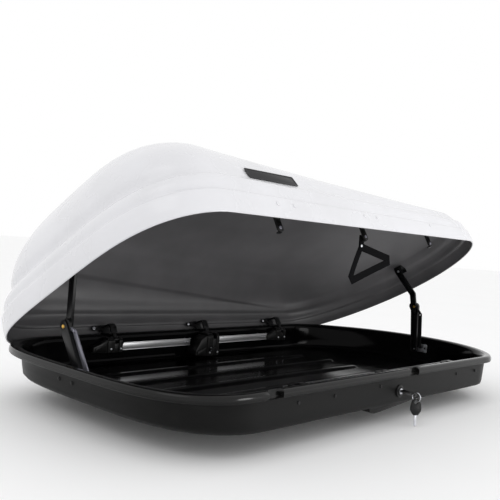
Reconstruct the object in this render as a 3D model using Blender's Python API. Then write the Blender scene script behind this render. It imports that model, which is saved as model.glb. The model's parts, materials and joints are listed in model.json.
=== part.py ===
"""Roof cargo box with a side-opening lid, modelled piece by piece in metres.

Frame: origin in the middle of the tray's flat underside, +X to the nose, -Y to the
side that opens, +Z up. Pieces of the lid are drawn with the lid shut and hang from an
empty on the hinge axis, which then swings them to the rest pose, lid open.
"""

import math

import bmesh
import bpy
from mathutils import Vector

# ---------------------------------------------------------------- driving dimensions
RIM_LENGTH = 1.602
RIM_WIDTH = 0.850
RIM_TOP = 0.097
WALL = 0.004
OUTLINE_POINTS = 48
REAR_CORNER = 0.20
NOSE_TAPER = 0.28

LID_OVERLAP = 0.007
LID_OPEN_DEG = 28.6
RIVET_Z = 0.124
HINGE_Y = 0.380
HINGE_Z = 0.082

BADGE_PLACE = (-0.4085, 0.2135)
BADGE_LENGTH = 0.184
BADGE_HEIGHT = 0.032

TOUCH = 0.0003
ROUND_SEGMENTS = 16

HINGE_STATIONS = {"rear": -0.380, "middle": 0.015, "nose": 0.410}
HOOK_STATIONS = {"rear": -0.420, "middle": -0.055, "nose": 0.310}
NOTCH_STATIONS = (-0.536, 0.050, 0.545)

LOCK_X = 0.0
LOCK_Z = 0.036
BARREL_RADIUS = 0.0080
ROSETTE_RADIUS = 0.0170
KEY_HEAD_LENGTH = 0.043
KEY_HEAD_WIDTH = 0.030
KEY_BLADE_LENGTH = 0.030
RING_RADIUS = 0.0120
RING_TILT = math.radians(35)
RING_WIRE = 0.0010
KEY_ROLL = math.radians(-26)
SPARE_KEY_FACING = math.radians(-36)

ARM_PLANES = {"rear": -0.7290, "nose": 0.7410}
ARM_BRACKET_DEPTH = {"rear": 0.0288, "nose": 0.0130}
ARM_BRACKET_SPAN = {"rear": (-0.030, 0.030, -0.016, 0.016), "nose": (-0.050, 0.012, -0.010, 0.022)}
LID_BRACKET_REACH = {"rear": 0.0590, "nose": 0.0300}
ARM_BASE = {"rear": (0.0273, 0.0505), "nose": (-0.0264, 0.0489)}
ARM_ELBOW = {"rear": (0.1131, 0.1708), "nose": (-0.0187, 0.2132)}
ARM_TOP = {"rear": (0.1107, 0.3263), "nose": (0.0628, 0.3436)}

# Wall rows of the tray: inset from the rim outline at the side, rear and nose, height.
TRAY_OUTSIDE = (
    (0.030, 0.085, 0.050, 0.000),
    (0.023, 0.072, 0.043, 0.002),
    (0.0185, 0.052, 0.038, 0.009),
    (0.0175, 0.040, 0.035, 0.020),
    (0.0155, 0.032, 0.027, 0.0700),
    (0.0130, 0.026, 0.020, 0.0745),
    (0.002, 0.003, 0.002, 0.0765),
    (0.000, 0.000, 0.000, 0.0850),
    (0.002, 0.002, 0.002, 0.0930),
    (0.007, 0.007, 0.007, 0.0970),
)
TRAY_INSIDE = (
    (0.0200, 0.023, 0.020, 0.0970),
    (0.0240, 0.030, 0.027, 0.0930),
    (0.0255, 0.0365, 0.033, 0.0720),
    (0.0265, 0.0445, 0.041, 0.0200),
    (0.0290, 0.057, 0.045, 0.0100),
    (0.0390, 0.082, 0.056, 0.0045),
)
# Rows of the lid's outer skin: insets as above, then height at the tail and the nose.
LID_OUTSIDE = (
    (0.002, 0.002, 0.002, 0.089, 0.089),
    (0.000, 0.000, 0.000, 0.112, 0.109),
    (0.002, 0.002, 0.003, 0.142, 0.129),
    (0.007, 0.009, 0.008, 0.150, 0.135),
    (0.007, 0.010, 0.012, 0.170, 0.150),
    (0.010, 0.018, 0.020, 0.186, 0.163),
    (0.019, 0.034, 0.032, 0.198, 0.173),
    (0.024, 0.038, 0.040, 0.210, 0.183),
    (0.031, 0.036, 0.052, 0.234, 0.199),
    (0.045, 0.042, 0.072, 0.262, 0.212),
    (0.064, 0.052, 0.100, 0.288, 0.223),
    (0.090, 0.070, 0.140, 0.316, 0.233),
    (0.125, 0.098, 0.190, 0.347, 0.245),
    (0.184, 0.152, 0.260, 0.382, 0.258),
    (0.262, 0.240, 0.360, 0.406, 0.267),
    (0.340, 0.340, 0.480, 0.416, 0.272),
)
LID_TAIL_X = -0.55
LID_NOSE_X = 0.60

# ---------------------------------------------------------------- finishes
FINISHES = {
    "tray_plastic": ((0.018, 0.018, 0.019), 0.42, 0.0),
    "lid_plastic": ((0.80, 0.80, 0.83), 0.30, 0.0),
    "black_plastic": ((0.014, 0.014, 0.014), 0.38, 0.0),
    "black_steel": ((0.010, 0.010, 0.010), 0.35, 0.6),
    "zinc_steel": ((0.62, 0.63, 0.66), 0.30, 1.0),
    "aluminium": ((0.72, 0.72, 0.72), 0.35, 1.0),
    "brass": ((0.75, 0.52, 0.14), 0.30, 1.0),
    "webbing": ((0.012, 0.012, 0.013), 0.85, 0.0),
}


def clear_scene():
    """Start from an empty scene."""
    for item in list(bpy.data.objects):
        bpy.data.objects.remove(item, do_unlink=True)


def finish(name):
    """One Principled material for an object, made from the table of finishes."""
    colour, roughness, metallic = FINISHES[name]
    made = bpy.data.materials.new(name)
    made.use_nodes = True
    shader = made.node_tree.nodes["Principled BSDF"]
    shader.inputs["Base Color"].default_value = (*colour, 1.0)
    shader.inputs["Roughness"].default_value = roughness
    shader.inputs["Metallic"].default_value = metallic
    made.diffuse_color = (*colour, 1.0)
    return made


def place(name, bm, finish_name, parent=None):
    """Turn a bmesh into a named object with outward faces."""
    bmesh.ops.recalc_face_normals(bm, faces=bm.faces)
    mesh = bpy.data.meshes.new(name)
    bm.to_mesh(mesh)
    bm.free()
    made = bpy.data.objects.new(name, mesh)
    mesh.materials.append(finish(finish_name))
    mesh.shade_smooth()
    mesh.set_sharp_from_angle(angle=math.radians(32))
    bpy.context.scene.collection.objects.link(made)
    made.parent = parent
    return made


def tool(name, bm, parent=None):
    """A hidden cutter or filler for a Boolean."""
    made = place(name, bm, "zinc_steel", parent)
    made.hide_render = True
    made.display_type = "WIRE"
    return made


def combine(target, helper, operation):
    """Cut a piece with a helper, or weld the helper to it."""
    modifier = target.modifiers.new(helper.name, "BOOLEAN")
    modifier.operation = operation
    modifier.solver = "EXACT"
    modifier.object = helper


# ---------------------------------------------------------------- shapes
def prism(axis, outline, low, high):
    """Extrude an outline along X, Y or Z. The outline's two numbers are the other axes."""
    bm = bmesh.new()
    others = [i for i in range(3) if i != axis]
    ends = []
    for level in (low, high):
        ring = []
        for point in outline:
            place_at = [0.0, 0.0, 0.0]
            place_at[axis] = level
            place_at[others[0]], place_at[others[1]] = point
            ring.append(bm.verts.new(place_at))
        ends.append(ring)
    bm.faces.new(ends[0])
    bm.faces.new(ends[1])
    count = len(outline)
    for i in range(count):
        j = (i + 1) % count
        bm.faces.new((ends[0][i], ends[0][j], ends[1][j], ends[1][i]))
    return bm


def block(low, high):
    """A box from its lowest to its highest corner."""
    outline = ((low[1], low[2]), (high[1], low[2]), (high[1], high[2]), (low[1], high[2]))
    return prism(0, outline, low[0], high[0])


def circle(centre, radius, count=ROUND_SEGMENTS):
    """Points round a circle."""
    turns = [2 * math.pi * (i + 0.5) / count for i in range(count)]
    return [(centre[0] + radius * math.cos(a), centre[1] + radius * math.sin(a)) for a in turns]


def stadium(start, end, radius, count=6, end_radius=None):
    """Outline of a flat link with round ends, which may differ in size."""
    heading = math.atan2(end[1] - start[1], end[0] - start[0])
    points = []
    ends = ((end, heading - math.pi / 2, end_radius or radius), (start, heading + math.pi / 2, radius))
    for centre, first, reach in ends:
        for i in range(count + 1):
            turn = first + math.pi * i / count
            points.append((centre[0] + reach * math.cos(turn), centre[1] + reach * math.sin(turn)))
    return points


def band(path, half_width):
    """Outline of a strip of even width that follows a path, with square ends."""
    left, right = [], []
    for i, point in enumerate(path):
        here = Vector(point)
        before = (here - Vector(path[i - 1])).normalized() if i else None
        after = (Vector(path[i + 1]) - here).normalized() if i + 1 < len(path) else None
        before = before or after
        after = after or before
        along = (before + after).normalized()
        across = Vector((-along.y, along.x)) * (half_width / along.dot(before))
        left.append(tuple(here + across))
        right.append(tuple(here - across))
    return left + right[::-1]


def rim_outline(count=OUTLINE_POINTS, grow=0.0):
    """Plan of the box: superelliptic rear corners, elliptic nose, evenly spaced points."""
    half = RIM_WIDTH / 2
    dense = []
    steps = 160
    for i in range(steps + 1):
        turn = math.pi / 2 * i / steps
        along = -RIM_LENGTH / 2 + REAR_CORNER * (1 - math.cos(turn) ** 0.92)
        dense.append((along, half * math.sin(turn) ** 0.513))
    for i in range(steps, -1, -1):
        turn = math.pi / 2 * i / steps
        along = RIM_LENGTH / 2 - NOSE_TAPER * (1 - math.cos(turn) ** 1.21)
        dense.append((along, half * math.sin(turn)))
    lengths = [0.0]
    for a, b in zip(dense, dense[1:]):
        lengths.append(lengths[-1] + math.dist(a, b))
    upper = []
    index = 0
    for i in range(count // 2 + 1):
        wanted = lengths[-1] * i / (count // 2)
        while index < len(dense) - 2 and lengths[index + 1] < wanted:
            index += 1
        span = lengths[index + 1] - lengths[index]
        part = (wanted - lengths[index]) / span if span else 0.0
        a, b = dense[index], dense[index + 1]
        upper.append((a[0] + (b[0] - a[0]) * part, a[1] + (b[1] - a[1]) * part))
    stretch_x = (RIM_LENGTH + 2 * grow) / RIM_LENGTH
    stretch_y = (RIM_WIDTH + 2 * grow) / RIM_WIDTH
    whole = upper + [(x, -y) for x, y in upper[-2:0:-1]]
    return [(x * stretch_x, y * stretch_y) for x, y in whole]


def inset(outline, side, rear, nose):
    """Draw an outline in by its own amount at the sides, rear and nose."""
    low = min(x for x, _ in outline)
    high = max(x for x, _ in outline)
    half = max(y for _, y in outline)
    scale_x = (high - low - rear - nose) / (high - low)
    scale_y = (half - side) / half
    return [(low + rear + (x - low) * scale_x, y * scale_y) for x, y in outline]


def skin(rings):
    """Join rings of points into one closed surface, with a fan over each end ring."""
    bm = bmesh.new()
    rows = [[bm.verts.new(point) for point in ring] for ring in rings]
    count = len(rows[0])
    for low, high in zip(rows, rows[1:]):
        for i in range(count):
            j = (i + 1) % count
            bm.faces.new((low[i], low[j], high[j], high[i]))
    for row in (rows[0], rows[-1]):
        middle = sum((v.co for v in row), Vector()) / count
        hub = bm.verts.new(middle)
        for i in range(count):
            bm.faces.new((row[i], row[(i + 1) % count], hub))
    return bm


# ---------------------------------------------------------------- tray
def tray_wall_y(height, rows):
    """Distance of a tray wall from the middle plane at a given height."""
    steps = sorted((row[3], row[0]) for row in rows)
    for (low, a), (high, b) in zip(steps, steps[1:]):
        if low <= height <= high:
            return RIM_WIDTH / 2 - (a + (b - a) * (height - low) / (high - low))
    return RIM_WIDTH / 2


def base_tray():
    """The lower shell: flat underside, steep walls, rolled rim, ribbed floor."""
    outline = rim_outline()
    rings = []
    for side, rear, nose, height in TRAY_OUTSIDE + TRAY_INSIDE:
        rings.append([(x, y, height) for x, y in inset(outline, side, rear, nose)])
    made = place("base_tray", skin(rings), "tray_plastic")
    for i in range(5):
        middle = -0.24 + 0.12 * i
        low = (-0.62, middle - 0.020, WALL)
        high = (0.40, middle + 0.020, WALL + 0.005)
        combine(made, tool(f"floor_rib_{i}", block(low, high)), "UNION")
    for i, x in enumerate(NOTCH_STATIONS):
        y = -RIM_WIDTH / 2 if x < 0.5 else -RIM_WIDTH / 2 + 0.006
        low = (x - 0.021, y - 0.010, RIM_TOP - 0.019)
        high = (x + 0.021, y + 0.0045, RIM_TOP + 0.005)
        combine(made, tool(f"rim_notch_{i}", block(low, high)), "DIFFERENCE")
    for i, side in enumerate((-1, 1)):
        hole = prism(1, circle((LOCK_X, LOCK_Z), BARREL_RADIUS + 0.0008), side * 0.38, side * 0.43)
        combine(made, tool(f"lock_hole_{i}", hole), "DIFFERENCE")
    return made


def lock_housing():
    """The pocket cover that widens the tray downwards under the lock."""
    outline = (
        (LOCK_X - 0.110, -TOUCH), (LOCK_X - 0.100, -0.018), (LOCK_X - 0.086, -0.021),
        (LOCK_X + 0.100, -0.006), (LOCK_X + 0.112, -TOUCH),
    )
    made = place("lock_housing", prism(1, outline, -0.386, -0.330), "black_plastic")
    return made


def screws():
    """Heads of the screws that hold the latch housings to the near wall."""
    spots = ((-0.440, 0.055), (-0.300, 0.055), (-0.097, 0.058), (0.334, 0.054), (0.459, 0.054))
    for i, (x, z) in enumerate(spots):
        wall = -tray_wall_y(z + 0.005, TRAY_OUTSIDE)
        start = wall - TOUCH - (0.0015 if x > 0.4 else 0.0)
        head = prism(1, circle((x, z), 0.0042, 10), start - 0.0022, start)
        place(f"tray_screw_{i + 1}", head, "black_steel")


# ---------------------------------------------------------------- lid
def lid_height(row, x):
    """Height of a lid row at a place along the box."""
    part = min(max((x - LID_TAIL_X) / (LID_NOSE_X - LID_TAIL_X), 0.0), 1.0)
    return row[3] + (row[4] - row[3]) * part


def lid_rows_inside():
    """The inner skin: every outer row moved one wall thickness along its normal."""
    made = []
    rows = LID_OUTSIDE
    for i, row in enumerate(rows):
        low = rows[max(i - 1, 0)]
        high = rows[min(i + 1, len(rows) - 1)]
        moved = []
        rise = (high[3] + high[4] - low[3] - low[4]) / 2
        for k in range(3):
            run = high[k] - low[k]
            moved.append(row[k] + WALL * rise / math.hypot(run, rise))
        run = high[0] - low[0]
        drop = WALL * run / math.hypot(run, rise) if i else 0.0
        moved += [row[3] - drop, row[4] - drop]
        made.append(tuple(moved))
    return made


def lid_ring(row, outline):
    """One ring of lid points."""
    return [(x, y, lid_height(row, x)) for x, y in inset(outline, *row[:3])]


def lid_shell(hinge):
    """The lid: skirt band, groove, second band, then the tall body."""
    outline = rim_outline(grow=LID_OVERLAP)
    inner = lid_rows_inside()
    rings = [lid_ring(row, outline) for row in reversed(inner)]
    rings += [lid_ring(row, outline) for row in LID_OUTSIDE]
    return place("lid_shell", skin(rings), "lid_plastic", hinge)


def lid_side(height, x):
    """Distance of the lid's outer skin from the middle plane at a height, and its lean."""
    for low, high in zip(LID_OUTSIDE, LID_OUTSIDE[1:]):
        bottom, top = lid_height(low, x), lid_height(high, x)
        if bottom <= height <= top:
            part = (height - bottom) / (top - bottom)
            reach = RIM_WIDTH / 2 + LID_OVERLAP - (low[0] + (high[0] - low[0]) * part)
            return reach, math.atan2(high[0] - low[0], top - bottom)
    raise ValueError("height is off the side of the lid")


def lid_badge(hinge):
    """A blank slanted badge plate on the near side of the lid."""
    x, z = BADGE_PLACE
    reach, lean = lid_side(z, x)
    turn = math.atan2(lid_side(z, x - 0.1)[0] - lid_side(z, x + 0.1)[0], 0.2)
    half, rise, slant = BADGE_LENGTH / 2, BADGE_HEIGHT / 2, 0.003
    corners = ((-half, rise), (half - slant, rise), (half, -rise), (slant - half, -rise))
    made = place("lid_badge", prism(1, corners, -0.0016, 0.0), "black_plastic", hinge)
    made.location = (x, -reach - 0.0028 - HINGE_Y, z - HINGE_Z)
    made.rotation_euler = (-lean, 0.0, turn)
    return made


def lid_rivets(hinge):
    """Rivet heads outside the lid, in pairs where a hook is fixed."""
    spots = []
    for x in HOOK_STATIONS.values():
        spots += [x - 0.031, x + 0.031]
    for i, x in enumerate(spots[:5]):
        reach, _ = lid_side(RIVET_Z, x)
        head = prism(1, circle((x, RIVET_Z - HINGE_Z), 0.0050, 10), -0.0022, 0.0)
        made = place(f"lid_rivet_{i + 1}", head, "lid_plastic", hinge)
        made.location = (0.0, -reach - 2 * TOUCH - HINGE_Y, 0.0)


def lid_hooks(hinge):
    """Catch hooks: a plate on the lid wall, a jog over the rim and a foot for the latch."""
    plate = -RIM_WIDTH / 2 - LID_OVERLAP + 0.010
    top = RIM_TOP
    outline = (
        (plate, top + 0.034), (plate, top + 0.021), (-0.3940, top + 0.010), (-0.3940, top - 0.027),
        (-0.3815, top - 0.027), (-0.3815, top - 0.0225), (-0.3890, top - 0.0215),
        (-0.3890, top + 0.0135), (plate + 0.005, top + 0.0245), (plate + 0.005, top + 0.034),
    )
    shifted = [(y - HINGE_Y, z - HINGE_Z) for y, z in outline]
    for name, x in HOOK_STATIONS.items():
        place(f"lid_hook_{name}", prism(0, shifted, x - 0.010, x + 0.010), "black_plastic", hinge)


def hinge_plates(hinge):
    """L plates: an eye on the pin, a neck up past the rim and a tab along the lid wall."""
    tab_face = 0.4195
    for name, x in HINGE_STATIONS.items():
        path = ((0.0, 0.0), (0.0, 0.045), (0.006, 0.0540), (tab_face - HINGE_Y, 0.0540))
        made = place(f"hinge_plate_{name}", prism(0, band(path, 0.004), x - 0.007, x + 0.007),
                     "black_steel", hinge)
        eye = prism(0, circle((0.0, 0.0), 0.0075, 12), x - 0.007, x + 0.007)
        combine(made, tool(f"hinge_eye_{name}", eye, hinge), "UNION")
        low = (x - 0.055, tab_face - 0.0035 - HINGE_Y, 0.0420)
        high = (x + 0.012, tab_face - HINGE_Y, 0.0620)
        combine(made, tool(f"hinge_tab_{name}", block(low, high), hinge), "UNION")
        neck = block((x - 0.012, -0.004, 0.0220), (x + 0.012, 0.004, 0.0450))
        combine(made, tool(f"hinge_neck_{name}", neck, hinge), "UNION")
        bore = prism(0, circle((0.0, 0.0), 0.0034, 12), x - 0.02, x + 0.02)
        combine(made, tool(f"hinge_bore_{name}", bore, hinge), "DIFFERENCE")


# ---------------------------------------------------------------- far side: hinges
def hinge_seats():
    """Housings in the tray that carry the hinge pins, the pins, and the tie rails."""
    for name, x in HINGE_STATIONS.items():
        low = (x - 0.085, 0.3690, HINGE_Z - 0.040)
        high = (x + 0.021, 0.3980, HINGE_Z + 0.007)
        if name == "middle":
            low = (x - 0.085, 0.3400, 0.0115)
            high = (x + 0.021, 0.3950, HINGE_Z + 0.007)
        made = place(f"hinge_housing_{name}", block(low, high), "black_plastic")
        slot = block((x - 0.0080, 0.3600, HINGE_Z - 0.012), (x + 0.0080, 0.4200, HINGE_Z + 0.020))
        combine(made, tool(f"hinge_slot_{name}", slot), "DIFFERENCE")
        bore = prism(0, circle((HINGE_Y, HINGE_Z), 0.0033, 12), x - 0.0175, x + 0.0175)
        combine(made, tool(f"hinge_seat_{name}", bore), "DIFFERENCE")
        pin = prism(0, circle((HINGE_Y, HINGE_Z), 0.0030, 12), x - 0.0170, x + 0.0170)
        place(f"hinge_pin_{name}", pin, "zinc_steel")
        if name == "middle":
            passage = prism(1, circle((LOCK_X, LOCK_Z), BARREL_RADIUS + 0.0008), 0.33, 0.41)
            combine(made, tool("far_lock_passage", passage), "DIFFERENCE")
    stations = list(HINGE_STATIONS.values())
    for name, start, end in (("rear", stations[0], stations[1]), ("nose", stations[1], stations[2])):
        low = (start + 0.0215, 0.3740, HINGE_Z - 0.034)
        high = (end - 0.0855, 0.3790, HINGE_Z - 0.010)
        place(f"hinge_rail_{name}", block(low, high), "aluminium")


# ---------------------------------------------------------------- near side: latches
def latches():
    """Pockets for the lid's hooks, each with a window for a tongue of the catch bar."""
    for name, x in HOOK_STATIONS.items():
        low = (x - 0.020, -0.3985, RIM_TOP - 0.033)
        high = (x + 0.034, -0.3735, RIM_TOP - 0.006)
        made = place(f"latch_housing_{name}", block(low, high), "black_plastic")
        pocket = block((x - 0.0115, -0.3962, RIM_TOP - 0.030), (x + 0.0115, -0.3770, RIM_TOP))
        combine(made, tool(f"latch_pocket_{name}", pocket), "DIFFERENCE")
        window = block((x - 0.0115, -0.3890, RIM_TOP - 0.020), (x + 0.0315, -0.3700, RIM_TOP - 0.013))
        combine(made, tool(f"latch_window_{name}", window), "DIFFERENCE")


def catch_bar():
    """The sliding bar with a tongue for each latch; the lock pushes it along."""
    first = HOOK_STATIONS["rear"] - 0.030
    last = HOOK_STATIONS["nose"] + 0.040
    rail = block((first, -0.3722, RIM_TOP - 0.027), (last, -0.3690, RIM_TOP - 0.010))
    made = place("catch_bar", rail, "aluminium")
    for name, x in HOOK_STATIONS.items():
        tongue = block((x + 0.0150, -0.3875, RIM_TOP - 0.0187), (x + 0.0290, -0.3700, RIM_TOP - 0.0147))
        combine(made, tool(f"catch_tongue_{name}", tongue), "UNION")


# ---------------------------------------------------------------- lock and keys
def key_body(name, blade_axis, origin, parent=None):
    """A flat key: plastic head with a ring hole, and a blade. Drawn along +Y from its tip."""
    half = KEY_HEAD_WIDTH / 2
    head = (
        (-half * 0.45, 0.0), (half * 0.45, 0.0), (half, -0.014), (half * 0.92, -0.030),
        (half * 0.55, -KEY_HEAD_LENGTH), (-half * 0.55, -KEY_HEAD_LENGTH),
        (-half * 0.92, -0.030), (-half, -0.014),
    )
    made = place(name, prism(2, head, -0.0028, 0.0028), "black_plastic", parent)
    hole = prism(2, circle((0.0, -KEY_HEAD_LENGTH + 0.007), 0.0056, 12), -0.01, 0.01)
    cutter = tool(f"{name}_hole", hole, made)
    combine(made, cutter, "DIFFERENCE")
    blade = prism(2, ((-0.0034, -0.004), (0.0034, -0.004), (0.0034, KEY_BLADE_LENGTH - 0.003),
                      (0.0, KEY_BLADE_LENGTH), (-0.0034, KEY_BLADE_LENGTH - 0.003)), -0.0009, 0.0009)
    combine(made, tool(f"{name}_blade", blade, made), "UNION")
    made.location = origin
    made.rotation_euler = blade_axis
    return made


def torus(radius, wire, count=24, sides=6):
    """A ring in the YZ plane."""
    bm = bmesh.new()
    rows = []
    for i in range(count):
        turn = 2 * math.pi * i / count
        ring = []
        for k in range(sides):
            roll = 2 * math.pi * k / sides
            reach = radius + wire * math.cos(roll)
            point = (wire * math.sin(roll), reach * math.cos(turn), reach * math.sin(turn))
            ring.append(bm.verts.new(point))
        rows.append(ring)
    for i in range(count):
        for k in range(sides):
            after = rows[(i + 1) % count]
            n = (k + 1) % sides
            bm.faces.new((rows[i][k], rows[i][n], after[n], after[k]))
    return bm


def lock_side(prefix, side, inner, wall):
    """Rosette, barrel and cam of one lock, on the near (-1) or far (+1) wall."""
    ring = place(f"{prefix}_rosette", prism(1, circle((LOCK_X, LOCK_Z), ROSETTE_RADIUS, 20),
                 side * (wall + 0.0006), side * (wall + 0.0056)), "black_plastic")
    bore = prism(1, circle((LOCK_X, LOCK_Z), BARREL_RADIUS + 0.0005), side * 0.39, side * 0.43)
    combine(ring, tool(f"{prefix}_rosette_bore", bore), "DIFFERENCE")
    face = wall + 0.0062
    barrel = place(f"{prefix}_barrel", prism(1, circle((LOCK_X, LOCK_Z), BARREL_RADIUS),
                   side * inner, side * face), "zinc_steel")
    lean = (math.cos(KEY_ROLL), -math.sin(KEY_ROLL))
    keyway = []
    for a, b in ((-0.0040, -0.0014), (0.0040, -0.0014), (0.0040, 0.0014), (-0.0040, 0.0014)):
        keyway.append((LOCK_X + a * lean[0] - b * lean[1], LOCK_Z + a * lean[1] + b * lean[0]))
    slot = prism(1, keyway, *sorted((side * (face - 0.033), side * 0.43)))
    combine(barrel, tool(f"{prefix}_keyway", slot), "DIFFERENCE")
    wing = 0.0135
    cross = (
        (LOCK_X - wing, LOCK_Z - 0.004), (LOCK_X + wing, LOCK_Z - 0.004),
        (LOCK_X + wing, LOCK_Z + 0.004), (LOCK_X - wing, LOCK_Z + 0.004),
    )
    cam = place(f"{prefix}_cam", prism(1, cross, side * (inner - TOUCH - 0.003), side * (inner - TOUCH)),
                "black_steel")
    upright = prism(1, ((LOCK_X - 0.004, LOCK_Z - 0.010), (LOCK_X + 0.004, LOCK_Z - 0.010),
                        (LOCK_X + 0.004, LOCK_Z + 0.010), (LOCK_X - 0.004, LOCK_Z + 0.010)),
                    side * (inner - TOUCH - 0.0028), side * (inner - TOUCH - 0.0002))
    combine(cam, tool(f"{prefix}_cam_upright", upright), "UNION")
    return face


def locks_and_keys():
    """The near lock with its key and the spare on a ring, and the plain far lock."""
    wall = tray_wall_y(LOCK_Z + ROSETTE_RADIUS, TRAY_OUTSIDE)
    face = lock_side("lock", -1, 0.3740, wall)
    lock_side("far_lock", 1, 0.3350, wall)
    key_body("key", (0.0, KEY_ROLL, 0.0), (LOCK_X, -face - 0.0010, LOCK_Z))
    hole_y = -face - 0.0010 - KEY_HEAD_LENGTH + 0.007
    ring = place("key_ring", torus(RING_RADIUS, RING_WIRE), "zinc_steel")
    ring_y = hole_y - RING_RADIUS * math.cos(RING_TILT)
    ring_z = LOCK_Z - RING_RADIUS * math.sin(RING_TILT)
    ring.location = (LOCK_X, ring_y, ring_z)
    spare_top = ring_z - RING_RADIUS
    spare = key_body("spare_key", (math.radians(-90), 0.0, SPARE_KEY_FACING), (0.0, 0.0, 0.0))
    spare.location = (LOCK_X, ring_y, spare_top - KEY_HEAD_LENGTH + 0.007)
    return ring_y, spare_top


# ---------------------------------------------------------------- lid arms
def arm_set(end, outward, hinge):
    """One folding lid arm: tray bracket, channel arm, spring bar, flat arm, lid bracket."""
    plane = ARM_PLANES[end]
    base, elbow, top = ARM_BASE[end], ARM_ELBOW[end], ARM_TOP[end]

    def span(a, b):
        return sorted((plane + outward * a, plane + outward * b))

    outer = stadium(base, elbow, 0.0120, end_radius=0.0160)
    inner = stadium(base, elbow, 0.0098, end_radius=0.0138)
    lower = place(f"{end}_lower_arm", prism(0, outer, *span(-0.0050, 0.0080)), "black_steel")
    channel = prism(0, inner, *span(-0.0080, 0.0056))
    combine(lower, tool(f"{end}_channel", channel), "DIFFERENCE")
    for spot, centre in (("base", base), ("elbow", elbow)):
        hole = prism(0, circle(centre, 0.0035, 12), *span(-0.02, 0.02))
        combine(lower, tool(f"{end}_{spot}_hole", hole), "DIFFERENCE")

    along = (Vector(elbow) - Vector(base)).normalized()
    across = Vector((along.y, -along.x)) * (-0.0250)
    start = Vector(base) + along * 0.012 + across
    stop = Vector(elbow) - along * 0.030 + across
    bar = prism(0, stadium(tuple(start), tuple(stop), 0.0080, 4), *span(-0.0040, -0.0010))
    place(f"{end}_spring_bar", bar, "zinc_steel")

    depth = ARM_BRACKET_DEPTH[end]
    back = span(depth - 0.0038, depth)
    near, far, low, high = ARM_BRACKET_SPAN[end]
    bracket = place(f"{end}_arm_bracket",
                    block((back[0], base[0] + near, base[1] + low), (back[1], base[0] + far, base[1] + high)),
                    "zinc_steel")
    boss = prism(0, circle(base, 0.0090), *span(0.0092, depth - 0.0010))
    combine(bracket, tool(f"{end}_arm_boss", boss), "UNION")
    stub = prism(0, circle(base, 0.0032, 12), *span(0.0006, 0.0100))
    combine(bracket, tool(f"{end}_arm_stub", stub), "UNION")

    rivet = place(f"{end}_elbow_rivet", prism(0, circle(elbow, 0.0032, 12), *span(-0.0082, 0.0088)),
                  "brass")
    head = prism(0, circle(elbow, 0.0052, 12), *span(-0.0104, -0.0080))
    combine(rivet, tool(f"{end}_elbow_head", head), "UNION")

    upper = place(f"{end}_upper_arm", prism(0, stadium(elbow, top, 0.0115), *span(-0.0135, -0.0053)),
                  "black_steel")
    trough = prism(0, stadium(elbow, top, 0.0095), *span(-0.0200, -0.0076))
    combine(upper, tool(f"{end}_upper_trough", trough), "DIFFERENCE")
    hole = prism(0, circle(elbow, 0.0036, 12), *span(-0.02, 0.02))
    combine(upper, tool(f"{end}_upper_hole", hole), "DIFFERENCE")

    turn = math.radians(LID_OPEN_DEG)
    rel = Vector(top) - Vector((HINGE_Y, HINGE_Z))
    shut_y = rel.x * math.cos(turn) - rel.y * math.sin(turn)
    wall = LID_BRACKET_REACH[end]
    sections = (
        (wall, 0.0720), (wall, 0.0850), (0.0080, 0.0985), (-0.0045, 0.0985), (-0.0045, 0.0700),
        (-0.0015, 0.0700), (-0.0015, 0.0955), (0.0070, 0.0955), (wall - 0.0025, 0.0835),
        (wall - 0.0025, 0.0720),
    )
    outline = [(plane + outward * x, z) for x, z in sections]
    place(f"{end}_lid_bracket", prism(1, outline, shut_y - 0.016, shut_y + 0.016), "black_steel", hinge)


# ---------------------------------------------------------------- pull strap
def pull_strap():
    """A folded loop of webbing that hangs from the middle hook, with its rivet."""
    x = HOOK_STATIONS["middle"]
    turn = math.radians(LID_OPEN_DEG)
    y = HINGE_Y - 0.765 * math.cos(turn) + 0.010 * math.sin(turn)
    z = HINGE_Z + 0.765 * math.sin(turn) + 0.010 * math.cos(turn)
    outer = ((x - 0.011, z), (x + 0.011, z), (x + 0.012, z - 0.024), (x + 0.155, z - 0.057),
             (x + 0.158, z - 0.078), (x - 0.032, z - 0.139), (x - 0.048, z - 0.126))
    window = ((x + 0.003, z - 0.049), (x + 0.114, z - 0.071), (x - 0.020, z - 0.110))
    made = place("pull_strap", prism(1, outer, y - 0.0012, y + 0.0012), "webbing")
    combine(made, tool("strap_window", prism(1, window, y - 0.01, y + 0.01)), "DIFFERENCE")
    head = prism(1, circle((x, z - 0.030), 0.0035, 10), y - 0.0033, y - 0.0012 - TOUCH)
    place("strap_rivet", head, "zinc_steel")
    return y, z


def main():
    """Build every piece, then swing the lid open to the rest pose."""
    clear_scene()
    hinge = bpy.data.objects.new("lid_pivot", None)
    bpy.context.scene.collection.objects.link(hinge)
    hinge.location = (0.0, HINGE_Y, HINGE_Z)
    base_tray()
    lock_housing()
    screws()
    shell = lid_shell(hinge)
    shell.location = (0.0, -HINGE_Y, -HINGE_Z)
    lid_badge(hinge)
    lid_rivets(hinge)
    lid_hooks(hinge)
    hinge_plates(hinge)
    hinge_seats()
    latches()
    catch_bar()
    ring_y, spare_top = locks_and_keys()
    arm_set("rear", -1.0, hinge)
    arm_set("nose", 1.0, hinge)
    strap_y, strap_z = pull_strap()
    hinge.rotation_euler = (-math.radians(LID_OPEN_DEG), 0.0, 0.0)
    print("spare key hangs at", round(ring_y, 4), round(spare_top, 4))
    print("strap hangs at", round(strap_y, 4), round(strap_z, 4))


main()
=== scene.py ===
# %% [markdown]
# # A roof cargo box
#
# The object is a car's roof box: a shallow black tray, a tall off-white lid on a long side
# hinge, two folding arms that hold the lid up, a row of catches, a lock with its keys and a
# pull strap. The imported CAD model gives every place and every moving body. This script
# makes what a customer sees: smooth mouldings, rolled edges, real fasteners and finishes.

# %% Load the frame
import json
import math

import bmesh
import bpy
from mathutils import Matrix, Vector, geometry


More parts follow.
